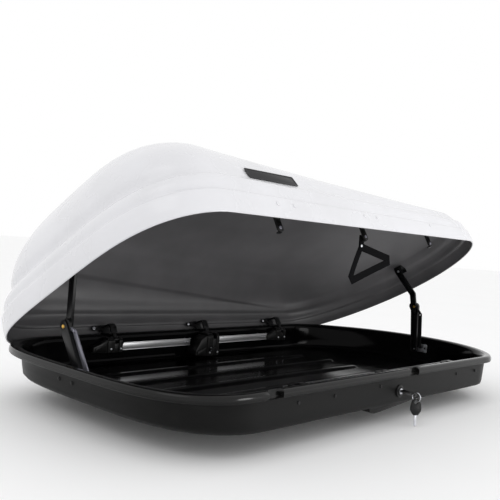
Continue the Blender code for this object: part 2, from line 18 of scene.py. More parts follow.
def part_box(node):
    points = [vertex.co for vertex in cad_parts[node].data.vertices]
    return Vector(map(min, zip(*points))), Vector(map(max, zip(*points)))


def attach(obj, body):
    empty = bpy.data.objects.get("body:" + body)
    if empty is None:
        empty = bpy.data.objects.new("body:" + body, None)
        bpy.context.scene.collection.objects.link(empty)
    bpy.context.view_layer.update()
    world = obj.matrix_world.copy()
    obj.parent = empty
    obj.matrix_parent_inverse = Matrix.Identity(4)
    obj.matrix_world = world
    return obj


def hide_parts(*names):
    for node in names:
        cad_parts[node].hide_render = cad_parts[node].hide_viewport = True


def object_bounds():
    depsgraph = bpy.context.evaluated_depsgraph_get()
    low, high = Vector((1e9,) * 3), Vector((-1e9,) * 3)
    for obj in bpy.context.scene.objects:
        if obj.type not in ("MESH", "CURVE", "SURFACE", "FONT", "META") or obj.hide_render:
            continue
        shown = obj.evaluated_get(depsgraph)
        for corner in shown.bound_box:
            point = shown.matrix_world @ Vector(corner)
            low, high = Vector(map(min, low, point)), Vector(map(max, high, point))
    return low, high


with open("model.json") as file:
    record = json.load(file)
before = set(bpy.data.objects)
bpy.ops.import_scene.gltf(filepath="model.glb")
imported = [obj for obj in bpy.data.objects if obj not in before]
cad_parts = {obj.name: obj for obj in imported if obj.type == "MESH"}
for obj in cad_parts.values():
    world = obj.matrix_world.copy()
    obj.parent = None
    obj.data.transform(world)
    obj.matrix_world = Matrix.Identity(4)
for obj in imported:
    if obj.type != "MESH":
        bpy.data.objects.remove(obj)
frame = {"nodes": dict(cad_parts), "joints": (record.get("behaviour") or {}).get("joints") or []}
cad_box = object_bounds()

joints = {joint["name"]: joint for joint in frame["joints"]}

# %% [markdown]
# ## Driving sizes
#
# The mouldings could be scaled from the CAD meshes, but those are coarse. It is cleaner to
# repeat the few sizes that shape them: the plan of the rim, and for each moulding a list of
# rows, where a row says how far the wall is drawn in from the rim and how high it is.

# %% Sizes of the mouldings
RIM_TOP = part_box("base_tray")[1].z
RIM_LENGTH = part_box("base_tray")[1].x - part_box("base_tray")[0].x
RIM_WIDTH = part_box("base_tray")[1].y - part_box("base_tray")[0].y
REAR_CORNER = 0.20
NOSE_TAPER = 0.28
LID_OVERLAP = 0.007
WALL = 0.004
HINGE = Vector(joints["lid_hinge"]["pos_m"])
LID_TURN = math.radians(joints["lid_hinge"]["range_deg"][0])
OPENED = Matrix.Translation(HINGE) @ Matrix.Rotation(LID_TURN, 4, "X") @ Matrix.Translation(-HINGE)
print("rim", round(RIM_LENGTH, 3), "by", round(RIM_WIDTH, 3), "top at", round(RIM_TOP, 3))

# Each row: inset at the side, rear and nose, then height.
TRAY_OUTSIDE = (
    (0.032, 0.087, 0.052, 0.0000),
    (0.026, 0.076, 0.046, 0.0008),
    (0.0205, 0.062, 0.040, 0.0045),
    (0.0185, 0.049, 0.037, 0.0110),
    (0.0175, 0.040, 0.035, 0.0200),
    (0.0165, 0.0355, 0.031, 0.0450),
    (0.0155, 0.032, 0.027, 0.0690),
    (0.0145, 0.029, 0.024, 0.0730),
    (0.0110, 0.020, 0.015, 0.0752),
    (0.0050, 0.008, 0.005, 0.0760),
    (0.0016, 0.0020, 0.0016, 0.0776),
    (0.0002, 0.0002, 0.0002, 0.0812),
    (0.0000, 0.0000, 0.0000, 0.0855),
    (0.0006, 0.0006, 0.0006, 0.0898),
    (0.0026, 0.0026, 0.0026, 0.0938),
    (0.0062, 0.0062, 0.0062, 0.0963),
    (0.0105, 0.0110, 0.0105, 0.0970),
    (0.0150, 0.0165, 0.0150, 0.0966),
    (0.0190, 0.0220, 0.0190, 0.0955),
)
TRAY_INSIDE = (
    (0.0225, 0.0275, 0.0245, 0.0935),
    (0.0245, 0.0310, 0.0285, 0.0890),
    (0.0252, 0.0345, 0.0310, 0.0800),
    (0.0256, 0.0370, 0.0335, 0.0680),
    (0.0262, 0.0410, 0.0380, 0.0400),
    (0.0266, 0.0445, 0.0410, 0.0200),
    (0.0285, 0.0560, 0.0440, 0.0110),
    (0.0330, 0.0700, 0.0490, 0.0062),
    (0.0400, 0.0830, 0.0570, 0.0045),
    (0.0700, 0.1150, 0.0900, 0.0045),
)
# The lid's rows have a height at the tail and one at the nose.
LID_OUTSIDE = (
    (0.002, 0.002, 0.002, 0.089, 0.089),
    (0.000, 0.000, 0.000, 0.112, 0.109),
    (0.002, 0.002, 0.003, 0.142, 0.129),
    (0.007, 0.009, 0.008, 0.150, 0.135),
    (0.007, 0.010, 0.012, 0.170, 0.150),
    (0.010, 0.018, 0.020, 0.186, 0.163),
    (0.019, 0.034, 0.032, 0.198, 0.173),
    (0.024, 0.038, 0.040, 0.210, 0.183),
    (0.031, 0.036, 0.052, 0.234, 0.199),
    (0.045, 0.042, 0.072, 0.262, 0.212),
    (0.064, 0.052, 0.100, 0.288, 0.223),
    (0.090, 0.070, 0.140, 0.316, 0.233),
    (0.125, 0.098, 0.190, 0.347, 0.245),
    (0.184, 0.152, 0.260, 0.382, 0.258),
    (0.262, 0.240, 0.360, 0.406, 0.267),
    (0.340, 0.340, 0.480, 0.416, 0.272),
    (0.395, 0.400, 0.560, 0.4175, 0.2735),
    (0.420, 0.430, 0.600, 0.4178, 0.2738),
)
LID_TAIL_X = -0.55
LID_NOSE_X = 0.60
HINGE_STATIONS = {"rear": -0.380, "middle": 0.015, "nose": 0.410}
HOOK_STATIONS = {"rear": -0.420, "middle": -0.055, "nose": 0.310}
NOTCH_STATIONS = (-0.536, 0.050)

# %% [markdown]
# ## A short way to write materials
#
# Shader networks can be wired by hand in the editor, or in code one link at a time, which
# is long to read. Here a small class wraps one output socket, so that sums on it can be
# written as Python. Plain values become Math nodes, colours go through Mix and vectors
# through Vector Math, since a Math node would turn a colour grey.

# %% One class for shader sums
class Wire:
    """One output socket of a material's tree. Sums on it add nodes."""

    def __init__(self, tree, socket=None):
        self.tree = tree
        self.socket = socket

    def make(self, kind, settings=None, feeds=None, output=0):
        """Add a node, set it up, feed its sockets, and wrap one of its outputs."""
        node = self.tree.nodes.new(kind)
        for key, value in (settings or {}).items():
            setattr(node, key, value)
        for key, value in (feeds or {}).items():
            feed(self.tree, node.inputs[key], value)
        return Wire(self.tree, node.outputs[output])

    def joined(self, operation, first, second):
        """One sum of two terms, in the kind of node that keeps colours and vectors whole."""
        kinds = {term.socket.type for term in (first, second) if isinstance(term, Wire)}
        if "RGBA" in kinds:
            settings = {"data_type": "RGBA", "blend_type": operation}
            return self.make("ShaderNodeMix", settings, {0: 1.0, 6: first, 7: second}, output=2)
        kind = "ShaderNodeVectorMath" if "VECTOR" in kinds else "ShaderNodeMath"
        return self.make(kind, {"operation": operation}, {0: first, 1: second})

    def __add__(self, other):
        return self.joined("ADD", self, other)

    def __sub__(self, other):
        return self.joined("SUBTRACT", self, other)

    def __mul__(self, other):
        return self.joined("MULTIPLY", self, other)

    def __truediv__(self, other):
        return self.joined("DIVIDE", self, other)

    def __radd__(self, other):
        return self.joined("ADD", other, self)

    def __rsub__(self, other):
        return self.joined("SUBTRACT", other, self)

    def __rmul__(self, other):
        return self.joined("MULTIPLY", other, self)

    def clamped(self, low, high, start=0.0, end=1.0):
        """Stretch low..high of a value to start..end, and hold it there beyond."""
        feeds = {0: self, 1: low, 2: high, 3: start, 4: end}
        return self.make("ShaderNodeMapRange", {"clamp": True}, feeds)

    def between(self, first, second):
        """A colour that goes from the first to the second as this value goes from 0 to 1."""
        settings = {"data_type": "RGBA"}
        return self.make("ShaderNodeMix", settings, {0: self, 6: first, 7: second}, output=2)


def feed(tree, socket, value):
    """Link a wire to a socket, or set the socket's own number or colour."""
    if isinstance(value, Wire):
        tree.links.new(value.socket, socket)
    elif isinstance(value, (int, float)) and hasattr(socket.default_value, "__len__"):
        socket.default_value = [value] * len(socket.default_value)
    elif isinstance(value, tuple) and len(value) == 3 and len(socket.default_value) == 4:
        socket.default_value = (*value, 1.0)
    else:
        socket.default_value = value


def finish(name):
    """A new material: its first wire, and a function that feeds its shader by socket name."""
    made = bpy.data.materials.new(name)
    made.use_nodes = True
    tree = made.node_tree
    shader = tree.nodes["Principled BSDF"]

    def surface(**sockets):
        for key, value in sockets.items():
            feed(tree, shader.inputs[key.replace("_", " ")], value)
        return made

    return Wire(tree), surface


# %% [markdown]
# Three patterns come back in most finishes: a place on the object, a cloudy noise, and a
# bump. Object coordinates are used and not UVs, because moulded grain has the same size
# everywhere on the real part, whatever the shape does.

# %% Patterns that the finishes share
def place_on(wire):
    """Where a point is on the object, in metres."""
    return wire.make("ShaderNodeTexCoord", output=3)


def stretched(wire, x, y, z):
    """The same place with each axis scaled, which draws a pattern out into streaks."""
    return wire.make("ShaderNodeMapping", {}, {0: place_on(wire), 3: (x, y, z)})


def cloud(wire, scale, detail=3.0, at=None):
    """Soft noise from 0 to 1 with this many blotches to the metre."""
    where = at or place_on(wire)
    return wire.make("ShaderNodeTexNoise", {}, {"Vector": where, "Scale": scale, "Detail": detail})


def cells(wire, scale):
    """Distance to the nearest of many scattered points, for pebbled grain."""
    return wire.make("ShaderNodeTexVoronoi", {}, {"Vector": place_on(wire), "Scale": scale})


def relief(wire, height, depth):
    """A bump of this depth in metres."""
    return wire.make("ShaderNodeBump", {}, {"Strength": 1.0, "Distance": depth, "Height": height})


def height_on(wire):
    """Height above the tray's underside, as a value."""
    return wire.make("ShaderNodeSeparateXYZ", {}, {0: place_on(wire)}, output=2)


# %% [markdown]
# ## Finishes
#
# The lid is formed from a two-colour sheet: a glossy off-white outside with a faint orange
# peel, and a dull charcoal inside. The tray is one black sheet whose wall keeps a fine
# pebbled grain and whose rolled rim and floor were pulled smooth, so they shine.

# %% Lid sheet
def lid_gloss():
    wire, surface = finish("lid_gloss")
    dust = cloud(wire, 7.0, 5.0).clamped(0.42, 0.72)
    peel = cloud(wire, 420.0, 2.0)
    shade = dust.between((0.70, 0.70, 0.725), (0.665, 0.665, 0.685))
    return surface(Base_Color=shade, Roughness=0.24 + dust * 0.08, Specular_IOR_Level=0.4,
                   Coat_Weight=0.25, Coat_Roughness=0.10, Normal=relief(wire, peel, 0.00002))


def lid_inner():
    wire, surface = finish("lid_inner")
    mottle = cloud(wire, 9.0, 4.0).clamped(0.35, 0.70)
    grain = cloud(wire, 900.0, 2.0)
    # Painted light: the charcoal inside is painted lighter the higher it stands on the open lid (x0.66 low
    # to x1.65 high), in place of the light that falls on its upper part.
    painted_light_above = height_on(wire).clamped(0.13, 0.38, 0.66, 1.65)
    shade = mottle.between((0.112, 0.110, 0.114), (0.135, 0.132, 0.137)) * painted_light_above
    return surface(Base_Color=shade, Roughness=0.38 + mottle * 0.10,
                   Normal=relief(wire, grain, 0.00003))


# %% Tray sheet
def tray_wall():
    wire, surface = finish("tray_wall")
    rolled = height_on(wire).clamped(RIM_TOP - 0.022, RIM_TOP - 0.010)
    scuff = cloud(wire, 3.0, 5.0, stretched(wire, 1.0, 6.0, 9.0)).clamped(0.55, 0.80)
    grain = cells(wire, 620.0) * (1.0 - rolled * 0.85)
    shade = scuff.between((0.0035, 0.0035, 0.0034), (0.007, 0.007, 0.0066))
    return surface(Base_Color=shade, Roughness=0.42 - rolled * 0.24 + scuff * 0.05,
                   Specular_IOR_Level=0.13, Coat_Weight=rolled * 0.28, Coat_Roughness=0.08,
                   Normal=relief(wire, grain, 0.00012))


def tray_floor():
    wire, surface = finish("tray_floor")
    haze = cloud(wire, 5.0, 4.0).clamped(0.40, 0.75)
    grain = cloud(wire, 300.0, 2.0)
    shade = haze.between((0.0016, 0.0016, 0.0018), (0.0034, 0.0034, 0.0038))
    return surface(Base_Color=shade, Roughness=0.09 + haze * 0.08, Specular_IOR_Level=0.06,
                   Normal=relief(wire, grain, 0.00004))


# %% [markdown]
# The fittings are moulded black nylon, powder-coated and zinc-plated steel, aluminium
# extrusion and brass. Flat colours would look like toys, so each has the mark its making
# leaves: sparkle and pits in powder coat, drawn streaks in aluminium, clouds in zinc.

# %% Finishes of the fittings
def moulded_black():
    wire, surface = finish("moulded_black")
    worn = cloud(wire, 40.0, 4.0).clamped(0.50, 0.80)
    grain = cells(wire, 1500.0)
    shade = worn.between((0.005, 0.005, 0.005), (0.011, 0.011, 0.012))
    return surface(Base_Color=shade, Roughness=0.34 + worn * 0.12, Specular_IOR_Level=0.25,
                   Normal=relief(wire, grain, 0.00003))


def powder_black():
    wire, surface = finish("powder_black")
    pits = cloud(wire, 1300.0, 3.0)
    rubbed = cloud(wire, 30.0, 5.0).clamped(0.60, 0.85)
    shade = rubbed.between((0.0045, 0.0045, 0.005), (0.012, 0.012, 0.013))
    return surface(Base_Color=shade, Roughness=0.30 + pits * 0.14, Specular_IOR_Level=0.28,
                   Normal=relief(wire, pits, 0.00002))


def zinc_plate():
    wire, surface = finish("zinc_plate")
    bloom = cloud(wire, 90.0, 5.0)
    shade = bloom.between((0.52, 0.53, 0.57), (0.74, 0.75, 0.78))
    return surface(Base_Color=shade, Roughness=0.22 + bloom * 0.20, Metallic=1.0,
                   Normal=relief(wire, cloud(wire, 700.0), 0.00002))


def drawn_aluminium():
    wire, surface = finish("drawn_aluminium")
    streak = cloud(wire, 60.0, 4.0, stretched(wire, 0.6, 18.0, 18.0))
    shade = streak.between((0.50, 0.50, 0.51), (0.72, 0.72, 0.73))
    return surface(Base_Color=shade, Roughness=0.26 + streak * 0.22, Metallic=1.0,
                   Normal=relief(wire, streak, 0.00010))


def spring_steel():
    wire, surface = finish("spring_steel")
    streak = cloud(wire, 50.0, 4.0, stretched(wire, 10.0, 10.0, 0.8))
    shade = streak.between((0.22, 0.22, 0.26), (0.34, 0.34, 0.39))
    return surface(Base_Color=shade, Roughness=0.34 + streak * 0.18, Metallic=0.85,
                   Normal=relief(wire, streak, 0.00010))


def brass_rivet():
    wire, surface = finish("brass_rivet")
    tarnish = cloud(wire, 400.0, 4.0)
    shade = tarnish.between((0.80, 0.52, 0.12), (0.58, 0.35, 0.09))
    return surface(Base_Color=shade, Roughness=0.24 + tarnish * 0.18, Metallic=1.0)


def badge_plate():
    wire, surface = finish("badge_plate")
    streak = cloud(wire, 90.0, 3.0, stretched(wire, 1.0, 14.0, 14.0))
    shade = streak.between((0.008, 0.008, 0.009), (0.018, 0.018, 0.020))
    return surface(Base_Color=shade, Roughness=0.34 + streak * 0.14, Specular_IOR_Level=0.30,
                   Normal=relief(wire, streak, 0.0001))


# %% [markdown]
# Webbing is woven from thick filling yarns under fine warp yarns. The weave is drawn from
# the strap's own UVs, in metres along and across the tape, because the tape turns corners
# and the weave turns with it.

# %% Webbing
YARN = 0.0011


def webbing():
    wire, surface = finish("webbing")
    tape = wire.make("ShaderNodeUVMap", {"uv_map": "tape"})
    along = wire.make("ShaderNodeSeparateXYZ", {}, {0: tape}, output=0) * (2 * math.pi / YARN)
    across = wire.make("ShaderNodeSeparateXYZ", {}, {0: tape}, output=1) * (2 * math.pi / (YARN * 1.6))
    ribs = along.make("ShaderNodeMath", {"operation": "SINE"}, {0: along + across * 0.5})
    ends = along.make("ShaderNodeMath", {"operation": "SINE"}, {0: across})
    weave = (ribs * ends) * 0.5 + 0.5
    shade = weave.between((0.0015, 0.0015, 0.002), (0.005, 0.005, 0.0055))
    return surface(Base_Color=shade, Roughness=0.78 + weave * 0.12, Specular_IOR_Level=0.05,
                   Normal=relief(wire, weave, 0.00006))


FINISHES = {
    "lid_gloss": lid_gloss(), "lid_inner": lid_inner(), "tray_wall": tray_wall(),
    "tray_floor": tray_floor(), "moulded_black": moulded_black(), "powder_black": powder_black(),
    "zinc_plate": zinc_plate(), "drawn_aluminium": drawn_aluminium(), "spring_steel": spring_steel(),
    "brass_rivet": brass_rivet(), "badge_plate": badge_plate(), "webbing": webbing(),
}
print(len(FINISHES), "finishes")

# %% [markdown]
# ## Helpers for shapes
#
# Every piece is made as a mesh of its own. Small machined pieces are extruded outlines and
# turned profiles with a real rounded edge, since an edge with no radius catches no light
# and gives a model away. The bevel is cut into the mesh at once, so no modifier is left.

# %% Turning a mesh into a piece
def piece(name, bm, finishes, body, bevel=0.0, stands_for=(), crease=35.0, turned=None):
    """Bevel a mesh, give it its finishes, and let it ride on its body."""
    bmesh.ops.remove_doubles(bm, verts=bm.verts, dist=1e-6)
    bmesh.ops.recalc_face_normals(bm, faces=bm.faces)
    if bevel:
        sharp = [e for e in bm.edges if e.is_manifold and e.calc_face_angle(0) > math.radians(crease)]
        bmesh.ops.bevel(bm, geom=sharp, offset=bevel, segments=2, profile=0.5, affect="EDGES",
                        clamp_overlap=True)
    mesh = bpy.data.meshes.new(name)
    bm.to_mesh(mesh)
    bm.free()
    if turned:
        mesh.transform(turned)
    for finish_name in finishes:
        mesh.materials.append(FINISHES[finish_name])
    mesh.shade_smooth()
    mesh.set_sharp_from_angle(angle=math.radians(crease))
    made = bpy.data.objects.new(name, mesh)
    bpy.context.scene.collection.objects.link(made)
    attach(made, body)
    if stands_for:
        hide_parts(*stands_for)
    return made


def plate(bm, axis, outline, low, high, holes=()):
    """Extrude an outline, with holes if there are any, along X, Y or Z."""
    others = [i for i in range(3) if i != axis]
    loops = [list(outline)] + [list(hole) for hole in holes]
    flat = [[Vector((x, y, 0.0)) for x, y in loop] for loop in loops]
    ends = []
    for level in (low, high):
        verts = []
        for loop in loops:
            for first, second in loop:
                at = [0.0, 0.0, 0.0]
                at[axis], at[others[0]], at[others[1]] = level, first, second
                verts.append(bm.verts.new(at))
        ends.append(verts)
        if holes:
            for a, b, c in geometry.tessellate_polygon(flat):
                bm.faces.new((verts[a], verts[b], verts[c]))
        else:
            bm.faces.new(verts)
    start = 0
    for loop in loops:
        for i in range(len(loop)):
            a, b = start + i, start + (i + 1) % len(loop)
            bm.faces.new((ends[0][a], ends[0][b], ends[1][b], ends[1][a]))
        start += len(loop)
    return bm


def block(bm, low, high):
    """A box from its lowest to its highest corner."""
    outline = ((low[1], low[2]), (high[1], low[2]), (high[1], high[2]), (low[1], high[2]))
    return plate(bm, 0, outline, low[0], high[0])


def circle(centre, radius, count=28):
    """Points round a circle."""
    turns = [2 * math.pi * i / count for i in range(count)]
    return [(centre[0] + radius * math.cos(a), centre[1] + radius * math.sin(a)) for a in turns]


def stadium(start, end, radius, count=12, end_radius=None):
    """A link with round ends, which may differ in size."""
    heading = math.atan2(end[1] - start[1], end[0] - start[0])
    points = []
    ends = ((end, heading - math.pi / 2, end_radius or radius), (start, heading + math.pi / 2, radius))
    for centre, first, reach in ends:
        for i in range(count + 1):
            turn = first + math.pi * i / count
            points.append((centre[0] + reach * math.cos(turn), centre[1] + reach * math.sin(turn)))
    return points


def headings(path, i):
    """The direction into point i of a path, and the mean of the ones before and after it."""
    here = Vector(path[i])
    before = (here - Vector(path[i - 1])).normalized() if i else None
    after = (Vector(path[i + 1]) - here).normalized() if i + 1 < len(path) else None
    before = before or after
    after = after or before
    return before, (before + after).normalized()


def strip(path, half_width):
    """A bent strip of even width along a path, with square ends."""
    left, right = [], []
    for i, point in enumerate(path):
        here = Vector(point)
        before, along = headings(path, i)
        across = Vector((-along.y, along.x)) * (half_width / along.dot(before))
        left.append(tuple(here + across))
        right.append(tuple(here - across))
    return left + right[::-1]


def rounded(outline, radius, count=5):
    """Round every corner of an outline with an arc-like curve."""
    points = []
    size = len(outline)
    for i in range(size):
        here = Vector(outline[i])
        before = Vector(outline[i - 1]) - here
        after = Vector(outline[(i + 1) % size]) - here
        reach = min(radius, before.length * 0.45, after.length * 0.45)
        first = here + before.normalized() * reach
        last = here + after.normalized() * reach
        for k in range(count + 1):
            t = k / count
            points.append(tuple(first * (1 - t) ** 2 + here * 2 * t * (1 - t) + last * t * t))
    return points


def turned_profile(bm, axis, centre, profile, count=28):
    """Turn (radius, along) points about an axis, from one closed end to the other."""
    others = [i for i in range(3) if i != axis]
    rings = []
    for radius, along in profile:
        if radius < 1e-6:
            at = list(centre)
            at[axis] += along
            rings.append([bm.verts.new(at)])
            continue
        ring = []
        for i in range(count):
            turn = 2 * math.pi * i / count
            at = list(centre)
            at[axis] += along
            at[others[0]] += radius * math.cos(turn)
            at[others[1]] += radius * math.sin(turn)
            ring.append(bm.verts.new(at))
        rings.append(ring)
    for low, high in zip(rings, rings[1:]):
        for i in range(count):
            j = (i + 1) % count
            quad = [low[i % len(low)], low[j % len(low)], high[j % len(high)], high[i % len(high)]]
            face = list(dict.fromkeys(quad))
            if len(face) > 2:
                bm.faces.new(face)
    return bm


def dome_head(bm, axis, centre, radius, rise, side, dimple=0.35):
    """A rivet head that bulges to one side, with the small dimple a setting tool leaves."""
    steps = 6
    profile = [(0.0, -0.0004 * side), (radius, -0.0004 * side)]
    for i in range(steps):
        turn = math.pi / 2 * i / steps
        profile.append((radius * math.cos(turn) * (1 - dimple) + radius * dimple,
                        side * rise * math.sin(turn)))
    profile += [(radius * dimple, side * rise), (radius * dimple * 0.5, side * rise * 0.72),
                (0.0, side * rise * 0.7)]
    return turned_profile(bm, axis, centre, profile)


# %% [markdown]
# ## The plan of the box
#
# Seen from above, the tail has wide rounded corners and the nose narrows like the front of
# a boat. A superellipse draws both from two lengths. The points are then spaced evenly,
# because even spacing gives an even mesh and even highlights.

# %% Rim outline
def rim_outline(count, grow=0.0, extra=()):
    """Evenly spaced points round the rim, with extra stations along the near and far sides."""
    half = RIM_WIDTH / 2
    dense = []
    steps = 400
    for i in range(steps + 1):
        turn = math.pi / 2 * i / steps
        along = -RIM_LENGTH / 2 + REAR_CORNER * (1 - math.cos(turn) ** 0.92)
        dense.append(Vector((along, half * math.sin(turn) ** 0.513)))
    for i in range(steps, -1, -1):
        turn = math.pi / 2 * i / steps
        along = RIM_LENGTH / 2 - NOSE_TAPER * (1 - math.cos(turn) ** 1.21)
        dense.append(Vector((along, half * math.sin(turn))))
    lengths = [0.0]
    for a, b in zip(dense, dense[1:]):
        lengths.append(lengths[-1] + (b - a).length)
    stations = [lengths[-1] * i / (count // 2) for i in range(count // 2 + 1)]
    for x in extra:
        k = next(i for i in range(len(dense) - 1) if dense[i].x <= x <= dense[i + 1].x)
        part = (x - dense[k].x) / (dense[k + 1].x - dense[k].x)
        stations.append(lengths[k] + (lengths[k + 1] - lengths[k]) * part)
    upper = []
    k = 0
    for wanted in sorted(stations):
        while k < len(dense) - 2 and lengths[k + 1] < wanted:
            k += 1
        span = lengths[k + 1] - lengths[k]
        part = (wanted - lengths[k]) / span if span else 0.0
        point = dense[k].lerp(dense[k + 1], part)
        upper.append((point.x, point.y))
    stretch_x = (RIM_LENGTH + 2 * grow) / RIM_LENGTH
    stretch_y = (RIM_WIDTH + 2 * grow) / RIM_WIDTH
    whole = upper + [(x, -y) for x, y in upper[-2:0:-1]]
    return [(x * stretch_x, y * stretch_y) for x, y in whole]


def inset(outline, side, rear, nose):
    """Draw an outline in by its own amount at the sides, rear and nose."""
    low = min(x for x, _ in outline)
    high = max(x for x, _ in outline)
    half = max(y for _, y in outline)
    scale_x = (high - low - rear - nose) / (high - low)
    scale_y = (half - side) / half
    return [(low + rear + (x - low) * scale_x, y * scale_y) for x, y in outline]


def smoothed(rows, steps):
    """Rows in between, on a smooth curve through the rows given."""
    made = []
    last = len(rows) - 1
    for i in range(last):
        p0, p1 = rows[max(i - 1, 0)], rows[i]
        p2, p3 = rows[i + 1], rows[min(i + 2, last)]
        for k in range(steps):
            t = k / steps
            row = []
            for a, b, c, d in zip(p0, p1, p2, p3):
                slope_1, slope_2 = (c - a) / 2, (d - b) / 2
                row.append(b * (2 * t**3 - 3 * t**2 + 1) + slope_1 * (t**3 - 2 * t**2 + t)
                           + c * (3 * t**2 - 2 * t**3) + slope_2 * (t**3 - t**2))
            made.append(tuple(row))
    return made + [rows[last]]


def loft(bm, rings, mark=None):
    """Join rings of points into a skin, with a fan over each end ring."""
    rows = [[bm.verts.new(point) for point in ring] for ring in rings]
    count = len(rows[0])
    for level, (low, high) in enumerate(zip(rows, rows[1:])):
        for i in range(count):
            j = (i + 1) % count
            face = bm.faces.new((low[i], low[j], high[j], high[i]))
            face.material_index = mark(level) if mark else 0
    for level, row in ((0, rows[0]), (len(rows) - 1, rows[-1])):
        hub = bm.verts.new(sum((v.co for v in row), Vector()) / count)
        for i in range(count):
            face = bm.faces.new((row[i], row[(i + 1) % count], hub))
            face.material_index = mark(level) if mark else 0
    return bm


def soft_step(value, low, high):
    """0 below low, 1 above high, and a smooth rise between."""
    t = min(max((value - low) / (high - low), 0.0), 1.0)
    return t * t * (3 - 2 * t)


# %% [markdown]
# ## The tray
#
# The tray is one vacuum-formed sheet. It could be sculpted, but a loft of rings follows the
# way the sheet is drawn over its tool: a flat floor, steep walls and a rolled rim. The rim
# has short flats where the lid's catches pass, and the floor has long pressed ribs.

# %% Tray shell
NOTCH_HALF = 0.0215
NOTCH_EDGE = 0.0015


def notched(x, y, z):
    """Press the rim's flats in where the catches pass."""
    if y > 0 or z < 0.0755:
        return y
    depth = 0.0
    for station in NOTCH_STATIONS:
        off = abs(x - station)
        depth = max(depth, 1.0 - soft_step(off, NOTCH_HALF, NOTCH_HALF + NOTCH_EDGE))
    flat = -(RIM_WIDTH / 2 - 0.0125)
    return y + (max(y, flat) - y) * depth


def floor_rib(bm, start, end, radius, rise):
    """A pressed rib with round ends and a soft crown, which stands on the floor."""
    rings = []
    for grow, lift in ((0.006, -0.0006), (0.0025, 0.0006), (0.0, 0.35 * rise), (-0.003, 0.80 * rise),
                       (-0.008, rise), (-radius * 0.8, rise * 1.04)):
        outline = stadium(start, end, radius + grow)
        rings.append([(x, y, TRAY_INSIDE[-1][3] + lift) for x, y in outline])
    return loft(bm, rings, lambda level: 1)


def tray_shell():
    stations = []
    for x in NOTCH_STATIONS:
        stations += [x - NOTCH_HALF - NOTCH_EDGE, x - NOTCH_HALF, x + NOTCH_HALF,
                     x + NOTCH_HALF + NOTCH_EDGE]
    outline = rim_outline(240, extra=stations)
    rings = []
    outside = TRAY_OUTSIDE[:9] + tuple(smoothed(TRAY_OUTSIDE[9:], 2))
    rows = list(outside) + list(TRAY_INSIDE)
    for row in rows:
        ring = inset(outline, *row[:3])
        rings.append([(x, notched(x, y, row[3]), row[3]) for x, y in ring])
    bm = loft(bmesh.new(), rings, lambda level: 1 if level >= len(outside) - 1 else 0)
    for i in range(5):
        middle = -0.24 + 0.12 * i
        floor_rib(bm, (-0.60, middle), (0.36 + 0.02 * (i % 2), middle), 0.020, 0.0055)
    floor_rib(bm, (0.20, -0.30), (0.52, -0.235), 0.012, 0.0045)
    floor_rib(bm, (0.40, -0.150), (0.56, -0.150), 0.030, 0.0050)
    return piece("tray_moulding", bm, ("tray_wall", "tray_floor"), "tray", stands_for=("base_tray",),
                 crease=50.0)


tray = tray_shell()
print("tray", len(tray.data.polygons), "faces")

# %% [markdown]
# Under the lock the tray bulges down to make room for the lock's works. It is a separate
# moulded cover, with a slope toward the nose so that it sheds wind.

# %% Lock cover, wall screws
LOCK = Vector(joints["lock_turn"]["pos_m"])


def lock_cover():
    low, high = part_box("lock_housing")
    outline = (
        (LOCK.x - 0.110, high.z), (LOCK.x - 0.104, -0.016), (LOCK.x - 0.084, -0.021),
        (LOCK.x - 0.060, -0.0195), (LOCK.x + 0.098, -0.0065), (LOCK.x + 0.112, high.z),
    )
    bm = plate(bmesh.new(), 1, rounded(outline, 0.007), low.y, high.y)
    return piece("lock_cover", bm, ("moulded_black",), "tray", bevel=0.003, stands_for=("lock_housing",))


lock_cover()
for i in range(5):
    name = f"tray_screw_{i + 1}"
    low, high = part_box(name)
    centre = ((low.x + high.x) / 2, high.y, (low.z + high.z) / 2)
    bm = dome_head(bmesh.new(), 1, centre, 0.0046, 0.0024, -1)
    piece(f"wall_screw_{i + 1}", bm, ("powder_black",), "tray", stands_for=(name,))
for i, y in enumerate((0.012, 0.068)):
    bm = dome_head(bmesh.new(), 0, (-0.7662, y, 0.052), 0.0055, 0.0028, -1)
    piece(f"arm_rivet_rear_{i + 1}", bm, ("moulded_black",), "tray")
print("lock cover, screws and rear rivets")

# %% [markdown]
# ## The lid
#
# The lid is the face of the product: a low skirt, a step, a second band, a groove that fades
# toward the nose, and then a tall body that falls away forward. The same loft is used, with
# more rows, and the roof carries a shallow pressed panel that stiffens it.

# %% Lid shell
PANEL_MIDDLE = Vector((-0.090, 0.0))
PANEL_HALF = Vector((0.505, 0.275))
PANEL_CORNER = 0.085
PANEL_RISE = 0.0060
CREASE_DEPTH = 0.0050


def panel_rise(x, y):
    """How far the roof's pressed panel lifts a point."""
    dx = abs(x - PANEL_MIDDLE.x) - (PANEL_HALF.x - PANEL_CORNER)
    dy = abs(y - PANEL_MIDDLE.y) - (PANEL_HALF.y - PANEL_CORNER)
    outside = math.hypot(max(dx, 0.0), max(dy, 0.0)) + min(max(dx, dy), 0.0) - PANEL_CORNER
    fade = 1.0 - 0.75 * soft_step(x, -0.50, -0.30)
    return PANEL_RISE * fade * (1.0 - soft_step(outside, -0.007, 0.004))


def crease_step(x, y, height):
    """How far the inside of the far wall steps in above its long falling crease."""
    line = 0.290 - 0.1125 * (x + 0.50)
    reach = soft_step(x, -0.68, -0.60) * (1.0 - soft_step(x, 0.30, 0.52)) * soft_step(y, 0.05, 0.20)
    return CREASE_DEPTH * reach * soft_step(height, line - 0.004, line + 0.005)


def lid_height(row, x):
    part = min(max((x - LID_TAIL_X) / (LID_NOSE_X - LID_TAIL_X), 0.0), 1.0)
    return row[3] + (row[4] - row[3]) * part


def lid_ring(row, outline, inner=False):
    """One ring of the lid, with the roof panel and the inner crease pressed into it."""
    ring = []
    for x, y in inset(outline, *row[:3]):
        height = lid_height(row, x)
        rise = panel_rise(x, y) if height > 0.20 else 0.0
        step = crease_step(x, y, height) if inner else 0.0
        ring.append((x, y - step, height + rise - step * 0.5))
    return ring


